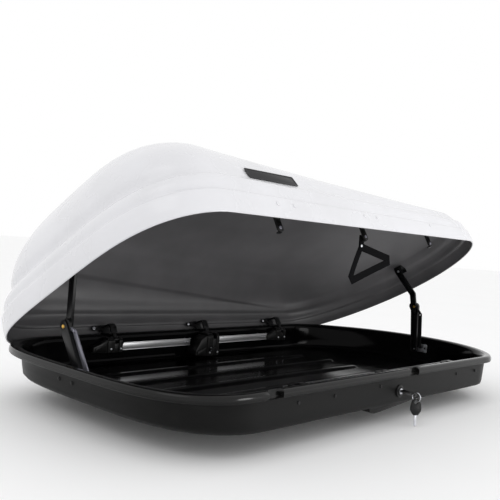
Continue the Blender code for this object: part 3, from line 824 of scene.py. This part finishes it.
def inner_rows(rows):
    """Each row moved one wall thickness inward along the skin's own normal."""
    made = []
    for i, row in enumerate(rows):
        low, high = rows[max(i - 1, 0)], rows[min(i + 1, len(rows) - 1)]
        rise = max((high[3] + high[4] - low[3] - low[4]) / 2, 1e-5)
        moved = []
        for k in range(3):
            run = high[k] - low[k]
            moved.append(row[k] + WALL * rise / math.hypot(run, rise))
        run = high[0] - low[0]
        drop = WALL * run / math.hypot(run, rise) if i else 0.0
        made.append(tuple(moved + [row[3] - drop, row[4] - drop]))
    return made


def lid_shell():
    outline = rim_outline(260, grow=LID_OVERLAP)
    rows = smoothed(LID_OUTSIDE, 6)
    inside = inner_rows(rows)
    lip = tuple((a + b) / 2 for a, b in zip(rows[0], inside[0]))
    lip = (*lip[:3], lip[3] - 0.0012, lip[4] - 0.0012)
    rings = [lid_ring(row, outline, inner=True) for row in reversed(inside)]
    rings.append(lid_ring(lip, outline))
    rings += [lid_ring(row, outline) for row in rows]
    edge = len(inside)
    bm = loft(bmesh.new(), rings, lambda level: 1 if level < edge else 0)
    return piece("lid_moulding", bm, ("lid_gloss", "lid_inner"), "lid", stands_for=("lid_shell",),
                 crease=60.0, turned=OPENED)


lid = lid_shell()
print("lid", len(lid.data.polygons), "faces")

# %% [markdown]
# The badge is a slanted plate with a raised border. It stays blank. The rivets are the
# same white as the lid, and show only by their small shadows.

# %% Badge and rivets
BADGE_PLACE = (-0.4085, 0.2135)
BADGE_STANDOFF = 0.0028
RIVET_HEIGHT = 0.124
RIVET_OFFSETS = (-0.031, 0.031)


def lid_side(height, x):
    """How far out the lid's skin is at a height, and how much it leans."""
    rows = smoothed(LID_OUTSIDE, 6)
    for low, high in zip(rows, rows[1:]):
        bottom, top = lid_height(low, x), lid_height(high, x)
        if bottom <= height <= top:
            part = (height - bottom) / max(top - bottom, 1e-6)
            reach = RIM_WIDTH / 2 + LID_OVERLAP - (low[0] + (high[0] - low[0]) * part)
            return reach, math.atan2(high[0] - low[0], top - bottom)
    raise ValueError("height is off the side of the lid")


def badge():
    x, z = BADGE_PLACE
    reach, lean = lid_side(z, x)
    turn = math.atan2(lid_side(z, x - 0.1)[0] - lid_side(z, x + 0.1)[0], 0.2)
    outer = ((-0.092, 0.016), (0.089, 0.016), (0.092, -0.016), (-0.089, -0.016))
    inner = [(a * 0.970, b * 0.82) for a, b in outer]
    bm = plate(bmesh.new(), 1, rounded(outer, 0.004), -0.0010, 0.0)
    plate(bm, 1, rounded(outer, 0.004), -0.0016, -0.0006, holes=(rounded(inner, 0.003),))
    at = Matrix.Translation((x, -reach - BADGE_STANDOFF, z)) @ Matrix.Rotation(turn, 4, "Z")
    tilt = Matrix.Rotation(-lean, 4, "X")
    return piece("badge", bm, ("badge_plate",), "lid", bevel=0.0002, stands_for=("lid_badge",),
                 turned=OPENED @ at @ tilt)


badge()
for i in range(5):
    station = list(HOOK_STATIONS.values())[i // 2] + RIVET_OFFSETS[i % 2]
    reach, _ = lid_side(RIVET_HEIGHT, station)
    bm = dome_head(bmesh.new(), 1, (station, -reach - 0.0004, RIVET_HEIGHT), 0.0054, 0.0022, -1)
    piece(f"skirt_rivet_{i + 1}", bm, ("lid_gloss",), "lid", stands_for=(f"lid_rivet_{i + 1}",),
          turned=OPENED)
print("badge and skirt rivets")

# %% [markdown]
# ## Hinges
#
# Three steel L plates are riveted to the far wall of the lid. Each turns on a pin in a
# black housing that is fixed in the tray, and aluminium rails tie the housings together
# so that the load spreads. The plates are lid pieces, so they are made with the lid shut
# and then turned open with it.

# %% Hinge plates
PIN_RADIUS = 0.0030


def hinge_plate(name, x):
    path = ((HINGE.y, HINGE.z), (HINGE.y, 0.1265), (HINGE.y + 0.005, 0.1350), (0.4165, 0.1365))
    neck = strip(path[:2] + ((HINGE.y + 0.0045, 0.1340), (0.4155, 0.1365)), 0.0024)
    bm = plate(bmesh.new(), 0, strip(path, 0.0022), x - 0.0066, x + 0.0066)
    plate(bm, 0, circle((HINGE.y, HINGE.z), 0.0074), x - 0.0066, x + 0.0066,
          holes=(circle((HINGE.y, HINGE.z), 0.0034),))
    wide = [(y, max(z, 0.1045)) for y, z in neck]
    plate(bm, 0, wide, x - 0.0118, x + 0.0118)
    eye = (x - 0.046, 0.1340)
    tab = rounded(((x + 0.0120, 0.1150), (x + 0.0120, 0.1440), (x - 0.012, 0.1440), (x - 0.024, 0.1425),
                   (x - 0.046, 0.1425), (x - 0.055, 0.1340), (x - 0.046, 0.1255), (x - 0.024, 0.1265),
                   (x - 0.012, 0.1150)), 0.005)
    plate(bm, 1, tab, 0.4150, 0.4180, holes=(circle(eye, 0.0032),))
    piece(f"hinge_leaf_{name}", bm, ("powder_black",), "lid", bevel=0.0006,
          stands_for=(f"hinge_plate_{name}",), turned=OPENED)
    ring = [(0.0022, 0.0), (0.0022, -0.0024), (0.0034, -0.0032), (0.0046, -0.0026), (0.0050, 0.0),
            (0.0022, 0.0)]
    bm = turned_profile(bmesh.new(), 1, (eye[0], 0.4152, eye[1]), ring)
    piece(f"hinge_eyelet_{name}", bm, ("zinc_plate",), "lid", turned=OPENED)
    bm = dome_head(bmesh.new(), 1, (x + 0.003, 0.4152, 0.1385), 0.0040, 0.0018, -1)
    piece(f"hinge_rivet_{name}", bm, ("powder_black",), "lid", turned=OPENED)


for name, x in HINGE_STATIONS.items():
    hinge_plate(name, x)
print("hinge plates")

# %% Hinge housings and rails
def hinge_housing(name, x):
    low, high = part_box(f"hinge_housing_{name}")
    face, back, top = low.y, high.y, high.z
    shelf = HINGE.z - 0.012
    base = low.z
    cheek = ((face, base), (back, base), (back, top), (face + 0.008, top), (face, top - 0.010))
    foot = ((face + 0.002, base), (back, base), (back, shelf), (face + 0.002, shelf))
    bm = plate(bmesh.new(), 0, rounded(cheek, 0.003), x - 0.034, x - 0.0080)
    plate(bm, 0, rounded(cheek, 0.003), x + 0.0080, high.x)
    plate(bm, 0, foot, x - 0.0082, x + 0.0082)
    slope = ((low.x, base + 0.004), (low.x, base + 0.020), (x - 0.060, shelf), (x - 0.033, top - 0.006),
             (x - 0.033, base))
    plate(bm, 1, rounded(slope, 0.004), face + 0.003, back - 0.002)
    web = ((x - 0.080, base + 0.006), (x - 0.078, base + 0.017), (x - 0.038, base + 0.030),
           (x - 0.038, base + 0.004))
    plate(bm, 1, rounded(web, 0.002), face, face + 0.004)
    piece(f"housing_{name}", bm, ("moulded_black",), "tray", bevel=0.0010,
          stands_for=(f"hinge_housing_{name}",))
    for k, (dx, dz) in enumerate(((-0.022, 0.008), (0.0145, 0.008))):
        head = dome_head(bmesh.new(), 1, (x + dx, face - 0.0001, base + dz + 0.004), 0.0036, 0.0018, -1)
        piece(f"housing_screw_{name}_{k + 1}", head, ("zinc_plate",), "tray")
    bm = turned_profile(bmesh.new(), 0, (x, HINGE.y, HINGE.z),
                        [(0.0, -0.0240), (0.0046, -0.0240), (0.0052, -0.0232), (0.0052, -0.0215),
                         (PIN_RADIUS, -0.0212), (PIN_RADIUS, 0.0212), (0.0026, 0.0222), (0.0, 0.0222)])
    piece(f"pin_{name}", bm, ("zinc_plate",), "tray", stands_for=(f"hinge_pin_{name}",))


def rail(name):
    low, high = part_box(f"hinge_rail_{name}")
    outline = ((low.x, low.z + 0.001), (low.x + 0.007, high.z), (high.x, high.z), (high.x, low.z),
               (low.x + 0.001, low.z))
    bm = plate(bmesh.new(), 1, outline, low.y + 0.0012, high.y)
    block(bm, (low.x + 0.006, low.y - 0.0016, high.z - 0.0026), (high.x, low.y + 0.0020, high.z))
    block(bm, (low.x + 0.002, low.y - 0.0006, low.z), (high.x, low.y + 0.0020, low.z + 0.0018))
    piece(f"rail_{name}", bm, ("drawn_aluminium",), "tray", bevel=0.0004,
          stands_for=(f"hinge_rail_{name}",))
    for k, x in enumerate((high.x - 0.010, high.x - 0.026)):
        head = dome_head(bmesh.new(), 1, (x, low.y + 0.0012, (low.z + high.z) / 2 - 0.0005),
                         0.0030, 0.0015, -1)
        piece(f"rail_rivet_{name}_{k + 1}", head, ("zinc_plate",), "tray")


for name, x in HINGE_STATIONS.items():
    hinge_housing(name, x)
for name in ("rear", "nose"):
    rail(name)
print("housings, pins and rails")

# %% [markdown]
# ## Catches
#
# Each catch is a lever that hangs from the lid and drops into a pocket in the near wall,
# where a tongue of the sliding bar holds it. The pockets and bar are plain shapes that the
# CAD already has right, so they only get their finishes.

# %% Hooks, pockets and catch bar
def hook(name, x):
    low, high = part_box(f"lid_hook_{name}")
    wall = -RIM_WIDTH / 2 - LID_OVERLAP + 0.0105
    face, back = -0.3940, -0.3892
    arm = ((wall, 0.1310), (wall, 0.1180), (face, 0.1068), (face, 0.0930), (back, 0.0930),
           (back, 0.1100), (wall + 0.0048, 0.1212), (wall + 0.0048, 0.1310))
    bm = plate(bmesh.new(), 0, arm, x - 0.0105, x + 0.0105)
    plate(bm, 1, stadium((x, 0.0950), (x, 0.0812), 0.0105), face, back)
    block(bm, (x - 0.0070, back - 0.0005, 0.0710), (x + 0.0070, -0.3822, 0.0746))
    piece(f"hook_{name}", bm, ("moulded_black",), "lid", bevel=0.0009,
          stands_for=(f"lid_hook_{name}",), turned=OPENED)
    bolt = turned_profile(bmesh.new(), 1, (x, face + 0.0002, 0.0822),
                          [(0.0, 0.0), (0.0044, 0.0), (0.0048, -0.0006), (0.0044, -0.0018),
                           (0.0024, -0.0021), (0.0020, -0.0014), (0.0, -0.0012)], 24)
    piece(f"hook_bolt_{name}", bolt, ("spring_steel",), "lid", turned=OPENED)


for name, x in HOOK_STATIONS.items():
    hook(name, x)
    frame["nodes"][f"latch_housing_{name}"].material_slots[0].material = FINISHES["moulded_black"]
frame["nodes"]["catch_bar"].material_slots[0].material = FINISHES["drawn_aluminium"]
for name in ("lock_cam", "far_lock_cam"):
    frame["nodes"][name].material_slots[0].material = FINISHES["powder_black"]
print("hooks, pockets and catch bar")

# %% [markdown]
# ## Locks and keys
#
# A lock shows three parts from outside: a black rosette, the bright face of the barrel and
# the keyway. The box is sold with its key in the lock and a spare on a split ring.

# %% Lock faces
KEY_ROLL = math.radians(26)


def lock_face(prefix, side):
    low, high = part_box(f"{prefix}_rosette")
    inner, outer = (low.y, high.y) if side > 0 else (high.y, low.y)
    thick = abs(outer - inner)
    centre = (LOCK.x, inner, LOCK.z)
    profile = [(0.0088, 0.0), (0.0172, 0.0), (0.0172, 0.0016), (0.0163, 0.0026), (0.0128, 0.0032),
               (0.0120, thick - 0.0006), (0.0112, thick), (0.0098, thick), (0.0090, thick - 0.0012),
               (0.0088, thick - 0.0012), (0.0088, 0.0)]
    bm = turned_profile(bmesh.new(), 1, centre, [(r, side * a) for r, a in profile], 40)
    piece(f"{prefix}_ring", bm, ("moulded_black",), "tray", stands_for=(f"{prefix}_rosette",))
    low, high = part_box(f"{prefix}_barrel")
    inner, face = (low.y, high.y) if side > 0 else (high.y, low.y)
    slot = []
    for a, b in ((-0.0042, -0.0014), (0.0042, -0.0014), (0.0042, 0.0014), (-0.0042, 0.0014)):
        slot.append((LOCK.x + a * math.cos(KEY_ROLL) + b * math.sin(KEY_ROLL),
                     LOCK.z - a * math.sin(KEY_ROLL) + b * math.cos(KEY_ROLL)))
    bm = plate(bmesh.new(), 1, circle((LOCK.x, LOCK.z), 0.0080, 40), face - side * 0.0120, face,
               holes=(slot,))
    plate(bm, 1, circle((LOCK.x, LOCK.z), 0.0079, 40), inner, face - side * 0.0118)
    piece(f"{prefix}_plug", bm, ("zinc_plate",), prefix, bevel=0.0004, stands_for=(f"{prefix}_barrel",))


lock_face("lock", -1)
lock_face("far_lock", 1)

# %% Keys and ring
HEAD_LENGTH = 0.043
BLADE_LENGTH = 0.030
SPARE_FACING = math.radians(-36)


def key(name, body, at):
    """A key drawn with its head toward -Y and its blade toward +Y."""
    half = 0.0150
    head = ((-half * 0.45, 0.0), (half * 0.45, 0.0), (half, -0.013), (half * 0.95, -0.030),
            (half * 0.55, -HEAD_LENGTH), (-half * 0.55, -HEAD_LENGTH), (-half * 0.95, -0.030),
            (-half, -0.013))
    hole = circle((0.0, -HEAD_LENGTH + 0.007), 0.0055, 20)
    bm = plate(bmesh.new(), 2, rounded(head, 0.003), -0.0026, 0.0026, holes=(hole,))
    pad = [(x * 0.66, y * 0.50 - 0.0045) for x, y in head]
    plate(bm, 2, rounded(pad, 0.002), -0.0030, 0.0030)
    piece(name, bm, ("moulded_black",), body, bevel=0.0007, stands_for=(name.replace("_grip", ""),),
          turned=at)
    teeth = [(-0.0034, -0.003), (0.0034, -0.003), (0.0034, 0.004)]
    for i in range(6):
        y = 0.0055 + 0.0036 * i
        depth = (0.0008, 0.0014, 0.0005)[i % 3]
        teeth += [(0.0034, y), (0.0034 - depth, y + 0.0012), (0.0034, y + 0.0024)]
    teeth += [(0.0030, BLADE_LENGTH - 0.0018), (0.0008, BLADE_LENGTH), (-0.0022, BLADE_LENGTH - 0.001),
              (-0.0034, BLADE_LENGTH - 0.004)]
    bm = plate(bmesh.new(), 2, teeth, -0.0009, 0.0009)
    piece(name.replace("grip", "blade"), bm, ("zinc_plate",), body, bevel=0.0002, turned=at)


low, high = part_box("key")
inserted = Matrix.Translation((LOCK.x, high.y - BLADE_LENGTH, LOCK.z))
key("key_grip", "key", inserted @ Matrix.Rotation(KEY_ROLL, 4, "Y"))
low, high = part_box("spare_key")
hung = Matrix.Translation(((low.x + high.x) / 2, (low.y + high.y) / 2, low.z + BLADE_LENGTH))
hung = hung @ Matrix.Rotation(SPARE_FACING, 4, "Z")
key("spare_key_grip", "spare_key", hung @ Matrix.Rotation(math.radians(-90), 4, "X"))


def split_ring():
    low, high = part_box("key_ring")
    middle = (low + high) / 2
    wire = 0.00075
    radius = (high.z - low.z) / 2 - wire
    bm = bmesh.new()
    rows = []
    count = 150
    for i in range(count + 1):
        turn = 4 * math.pi * i / count
        across = -0.0008 + 0.0016 * soft_step(i / count, 0.40, 0.60)
        outward = Vector((0.0, math.cos(turn), math.sin(turn)))
        ring = []
        for k in range(10):
            roll = 2 * math.pi * k / 10
            lift = outward * (radius + wire * math.cos(roll))
            ring.append(bm.verts.new(middle + lift + Vector((across + wire * math.sin(roll), 0.0, 0.0))))
        rows.append(ring)
    for a, b in zip(rows, rows[1:]):
        for k in range(10):
            bm.faces.new((a[k], a[(k + 1) % 10], b[(k + 1) % 10], b[k]))
    bm.faces.new(rows[0])
    bm.faces.new(rows[-1])
    return piece("split_ring", bm, ("zinc_plate",), "key", stands_for=("key_ring",), crease=60.0)


split_ring()
print("locks, keys and ring")

# %% [markdown]
# ## Lid arms
#
# A folding arm stands at each end. Its lower half is a pressed channel with a cam and a
# spring bar beside it, its upper half a ribbed bar, and one brass rivet joins them. The ends
# differ in their places, in the bend of the nose bar and in the spring's finish, so one
# function makes both.

# %% Arms
def arm(end, outward):
    base = Vector(joints[f"{end}_arm_base"]["pos_m"])
    elbow_at = joints[f"{end}_arm_elbow"]["pos_m"]
    foot, elbow = (base.y, base.z), (elbow_at[1], elbow_at[2])
    top = ARM_TOPS[end]
    lower, upper = f"{end}_lower", f"{end}_upper"

    def span(a, b):
        return sorted((base.x + outward * a, base.x + outward * b))

    outer = stadium(foot, elbow, 0.0118, end_radius=0.0158)
    inner = stadium(foot, elbow, 0.0098, end_radius=0.0138)
    bm = plate(bmesh.new(), 0, outer, *span(0.0058, 0.0080))
    plate(bm, 0, outer, *span(-0.0050, 0.0060), holes=(inner,))
    piece(f"{end}_channel", bm, ("powder_black",), lower, bevel=0.0006,
          stands_for=(f"{end}_lower_arm",))
    along = (Vector(elbow) - Vector(foot)).normalized()
    side = Vector((-along.y, along.x))
    heel = Vector(elbow) - along * 0.016 - side * outward * 0.004
    lobe = Vector(elbow) + along * 0.002 - side * outward * 0.0095
    bm = plate(bmesh.new(), 0, stadium(tuple(heel), tuple(lobe), 0.0110, end_radius=0.0138),
               *span(-0.0046, 0.0042))
    piece(f"{end}_cam", bm, ("moulded_black",), lower, bevel=0.0012)

    start = Vector(foot) + along * 0.012 + side * 0.0250
    stop = Vector(elbow) - along * 0.030 + side * 0.0250
    eye = circle(tuple(stop), 0.0026, 16)
    bm = plate(bmesh.new(), 0, stadium(tuple(start), tuple(stop), 0.0078, 8), *span(-0.0040, -0.0012),
               holes=(eye,))
    clip = stadium(tuple(stop + along * 0.004), tuple(stop + along * 0.015 - side * 0.008), 0.0040, 6)
    plate(bm, 0, clip, *span(-0.0036, 0.0010))
    piece(f"{end}_spring", bm, (SPRING_FINISH[end],), lower, bevel=0.0005,
          stands_for=(f"{end}_spring_bar",))

    profile = [(0.0, 0.0090), (0.0018, 0.0090), (0.0026, 0.0084), (0.0048, 0.0092), (0.0056, 0.0086),
               (0.0056, 0.0079), (0.0032, 0.0079), (0.0032, -0.0080), (0.0054, -0.0080),
               (0.0052, -0.0098), (0.0024, -0.0104), (0.0, -0.0104)]
    bm = turned_profile(bmesh.new(), 0, (base.x, *elbow), [(r, outward * a) for r, a in profile], 32)
    piece(f"{end}_rivet", bm, ("brass_rivet",), lower, stands_for=(f"{end}_elbow_rivet",))

    path = [top, *ARM_BENDS[end], elbow]
    count = len(path)
    web = span(-0.0077, -0.0053)
    bm = plate(bmesh.new(), 0, strip(path, 0.0113), *web)
    for centre in path[:-1]:
        plate(bm, 0, circle(centre, 0.0113), *web)
    plate(bm, 0, circle(elbow, 0.0115), *web, holes=(circle(elbow, 0.0036),))
    edges = strip(path, 0.0104)
    for edge in (edges[:count], edges[count:]):
        plate(bm, 0, strip(edge, 0.0010), *span(-0.0133, -0.0070))
    piece(f"{end}_strut", bm, ("powder_black",), upper, bevel=0.0004, stands_for=(f"{end}_upper_arm",))
    bm = dome_head(bmesh.new(), 0, (base.x - outward * 0.0077, *top), 0.0050, 0.0020, -outward)
    piece(f"{end}_top_rivet", bm, ("zinc_plate",), upper)

    low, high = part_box(f"{end}_arm_bracket")
    wall, near = (high.x, low.x) if outward > 0 else (low.x, high.x)
    corners = ((low.y, low.z), (high.y, low.z), (high.y, high.z), (low.y, high.z))
    bolts = []
    for y in (low.y + 0.010, high.y - 0.010):
        if abs(y - foot[0]) > 0.012:
            bolts.append(circle((y, (low.z + high.z) / 2), 0.0032, 16))
    bm = plate(bmesh.new(), 0, rounded(corners, 0.005), *sorted((wall - outward * 0.0030, wall)),
               holes=bolts)
    boss_end = wall - outward * 0.0010
    plate(bm, 0, circle(foot, 0.0088), *sorted((base.x + outward * 0.0092, boss_end)))
    plate(bm, 0, circle(foot, 0.0032), *sorted((near, base.x + outward * 0.0096)))
    piece(f"{end}_foot", bm, ("zinc_plate",), "tray", bevel=0.0006, stands_for=(f"{end}_arm_bracket",))


NOSE_ELBOW = joints["nose_arm_elbow"]["pos_m"]
SPRING_FINISH = {"rear": "spring_steel", "nose": "powder_black"}
ARM_TOPS = {"rear": (0.1107, 0.3263), "nose": (0.0628, 0.3436)}
ARM_BENDS = {"rear": (), "nose": ((NOSE_ELBOW[1] + 0.008, NOSE_ELBOW[2] + 0.048),)}
arm("rear", -1)
arm("nose", 1)

# %% Lid brackets
def lid_bracket(end, outward):
    plane = joints[f"{end}_arm_base"]["pos_m"][0]
    low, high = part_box(f"{end}_lid_bracket")
    wall = max(outward * (low.x - plane), outward * (high.x - plane))
    rel = Vector(ARM_TOPS[end]) - Vector((HINGE.y, HINGE.z))
    shut_y = HINGE.y + rel.x * math.cos(-LID_TURN) - rel.y * math.sin(-LID_TURN)
    sections = ((wall, 0.0720), (wall, 0.0850), (0.0080, 0.0985), (-0.0045, 0.0985), (-0.0045, 0.0700),
                (-0.0015, 0.0700), (-0.0015, 0.0955), (0.0070, 0.0955), (wall - 0.0025, 0.0835),
                (wall - 0.0025, 0.0720))
    outline = [(plane + outward * x, z + HINGE.z) for x, z in sections]
    bm = plate(bmesh.new(), 1, outline, shut_y - 0.016, shut_y + 0.016)
    piece(f"{end}_hanger", bm, ("powder_black",), "lid", bevel=0.0007,
          stands_for=(f"{end}_lid_bracket",), turned=OPENED)


lid_bracket("rear", -1)
lid_bracket("nose", 1)
print("arms and lid brackets")

# %% [markdown]
# ## Pull strap
#
# A loop of webbing pulls the lid shut. A cloth simulation would let it crumple, but the
# real one is stiff, sewn and riveted flat, so it is modelled directly: one tape that runs
# down, round a triangle and back up, with a fold at each corner.

# %% Strap
TAPE_WIDTH = 0.0215
TAPE_THICKNESS = 0.0014


def strap():
    joint = Vector(joints["strap_swing"]["pos_m"])
    width, thick = TAPE_WIDTH, TAPE_THICKNESS
    corners = [(0.0, -0.001), (0.0, -0.034), (0.1410, -0.0615), (0.1440, -0.0730), (-0.0285, -0.1275),
               (-0.0385, -0.1165), (0.0, -0.036), (0.0, -0.001)]
    depth = [-0.0008, -0.0008, -0.0003, 0.0, 0.0003, 0.0006, 0.0008, 0.0008]
    points = []
    for i in range(len(corners) - 1):
        steps = 8 if (Vector(corners[i + 1]) - Vector(corners[i])).length > 0.03 else 1
        for k in range(steps):
            t = k / steps
            bow = 0.0012 * math.sin(math.pi * t) if steps > 1 and 1 <= i <= 5 else 0.0
            x = corners[i][0] * (1 - t) + corners[i + 1][0] * t
            z = corners[i][1] * (1 - t) + corners[i + 1][1] * t
            points.append((Vector((x, z)), depth[i] * (1 - t) + depth[i + 1] * t + bow))
    points.append((Vector(corners[-1]), depth[-1]))
    bm = bmesh.new()
    uv = bm.loops.layers.uv.new("tape")
    section = ((-0.5, 0.25), (-0.47, 0.5), (-0.25, 0.5), (0.0, 0.5), (0.25, 0.5), (0.47, 0.5), (0.5, 0.25),
               (0.5, -0.25), (0.47, -0.5), (0.25, -0.5), (0.0, -0.5), (-0.25, -0.5), (-0.47, -0.5),
               (-0.5, -0.25))
    rings, lengths = [], []
    travelled = 0.0
    path = [place for place, _ in points]
    for i, (here, lift) in enumerate(points):
        before, mean = headings(path, i)
        stretch = min(1.0 / max(mean.dot(before), 0.2), 1.7)
        across = Vector((-mean.y, mean.x)) * stretch
        travelled += (here - points[i - 1][0]).length if i else 0.0
        ring = []
        for a, b in section:
            flat = here + across * (a * width)
            ring.append(bm.verts.new((joint.x + flat.x, joint.y + lift + b * thick, joint.z + flat.y)))
        rings.append(ring)
        lengths.append(travelled)
    size = len(section)
    for i in range(len(rings) - 1):
        for k in range(size):
            n = (k + 1) % size
            face = bm.faces.new((rings[i][k], rings[i][n], rings[i + 1][n], rings[i + 1][k]))
            places = ((lengths[i], section[k][0]), (lengths[i], section[n][0]),
                      (lengths[i + 1], section[n][0]), (lengths[i + 1], section[k][0]))
            for loop, (u, v) in zip(face.loops, places):
                loop[uv].uv = (u, v * width)
    bm.faces.new(rings[0])
    bm.faces.new(rings[-1])
    piece("pull_loop", bm, ("webbing",), "strap", stands_for=("pull_strap",), crease=50.0)
    at = (joint.x, joint.y - 0.0016, joint.z - 0.031)
    piece("pull_rivet", dome_head(bmesh.new(), 1, at, 0.0044, 0.0018, -1), ("zinc_plate",), "strap",
          stands_for=("strap_rivet",))


strap()
print("strap")

# %% [markdown]
# ## Studio
#
# The product is shown in a white studio. A white world gives the even light, one large
# soft light above gives the lid its form, and a low one in front lifts the black tray's
# edge. The camera stands low behind the near rear corner and leans a little.

# %% Floor, lights and camera
def pale_floor():
    made = bpy.data.materials.new("studio_floor")
    made.use_nodes = True
    wire = Wire(made.node_tree)
    shade = cloud(wire, 1.5).between((0.92, 0.92, 0.922), (0.95, 0.95, 0.952))
    shader = made.node_tree.nodes["Principled BSDF"]
    feed(wire.tree, shader.inputs["Base Color"], shade)
    feed(wire.tree, shader.inputs["Roughness"], 0.85)
    low = min(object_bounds()[0].z, cad_box[0].z)
    bm = bmesh.new()
    bmesh.ops.create_grid(bm, x_segments=2, y_segments=2, size=40.0)
    mesh = bpy.data.meshes.new("floor")
    bm.to_mesh(mesh)
    bm.free()
    mesh.materials.append(made)
    floor = bpy.data.objects.new("floor", mesh)
    floor.location.z = low - 0.003
    bpy.context.scene.collection.objects.link(floor)


def soft_light(name, at, aim, size, power):
    lamp = bpy.data.lights.new(name, "AREA")
    lamp.shape = "DISK"
    lamp.size = size
    lamp.energy = power
    made = bpy.data.objects.new(name, lamp)
    made.location = at
    made.rotation_euler = (Vector(aim) - Vector(at)).to_track_quat("-Z", "Y").to_euler()
    bpy.context.scene.collection.objects.link(made)


pale_floor()
soft_light("top_light", (-2.6, -0.4, 2.6), (-0.3, 0.0, 0.3), 2.0, 9.0)
soft_light("low_light", (0.6, -2.6, 0.20), (0.2, 0.0, 0.45), 1.1, 20.0)
scene = bpy.context.scene
scene.world = bpy.data.worlds.new("white_room")
scene.world.use_nodes = True
backdrop = scene.world.node_tree.nodes["Background"]
backdrop.inputs["Color"].default_value = (1.0, 1.0, 1.0, 1.0)
backdrop.inputs["Strength"].default_value = 1.0
scene.view_settings.view_transform = "Standard"

CAMERA_AT = Vector((-1.6735, -1.3831, 0.4030))
HEADING = math.radians(46.766)
PITCH = math.radians(-0.325)
LEAN = math.radians(4.108)
forward = Vector((math.sin(HEADING) * math.cos(PITCH), math.cos(HEADING) * math.cos(PITCH),
                  math.sin(PITCH)))
level = Vector((math.cos(HEADING), -math.sin(HEADING), 0.0))
upright = level.cross(forward)
across = level * math.cos(LEAN) + upright * math.sin(LEAN)
overhead = upright * math.cos(LEAN) - level * math.sin(LEAN)
lens = bpy.data.cameras.new("camera")
lens.sensor_width = 36.0
lens.lens = 49.58
camera = bpy.data.objects.new("camera", lens)
turn = Matrix((across, overhead, -forward)).transposed().to_4x4()
camera.matrix_world = Matrix.Translation(CAMERA_AT) @ turn
scene.collection.objects.link(camera)
scene.camera = camera
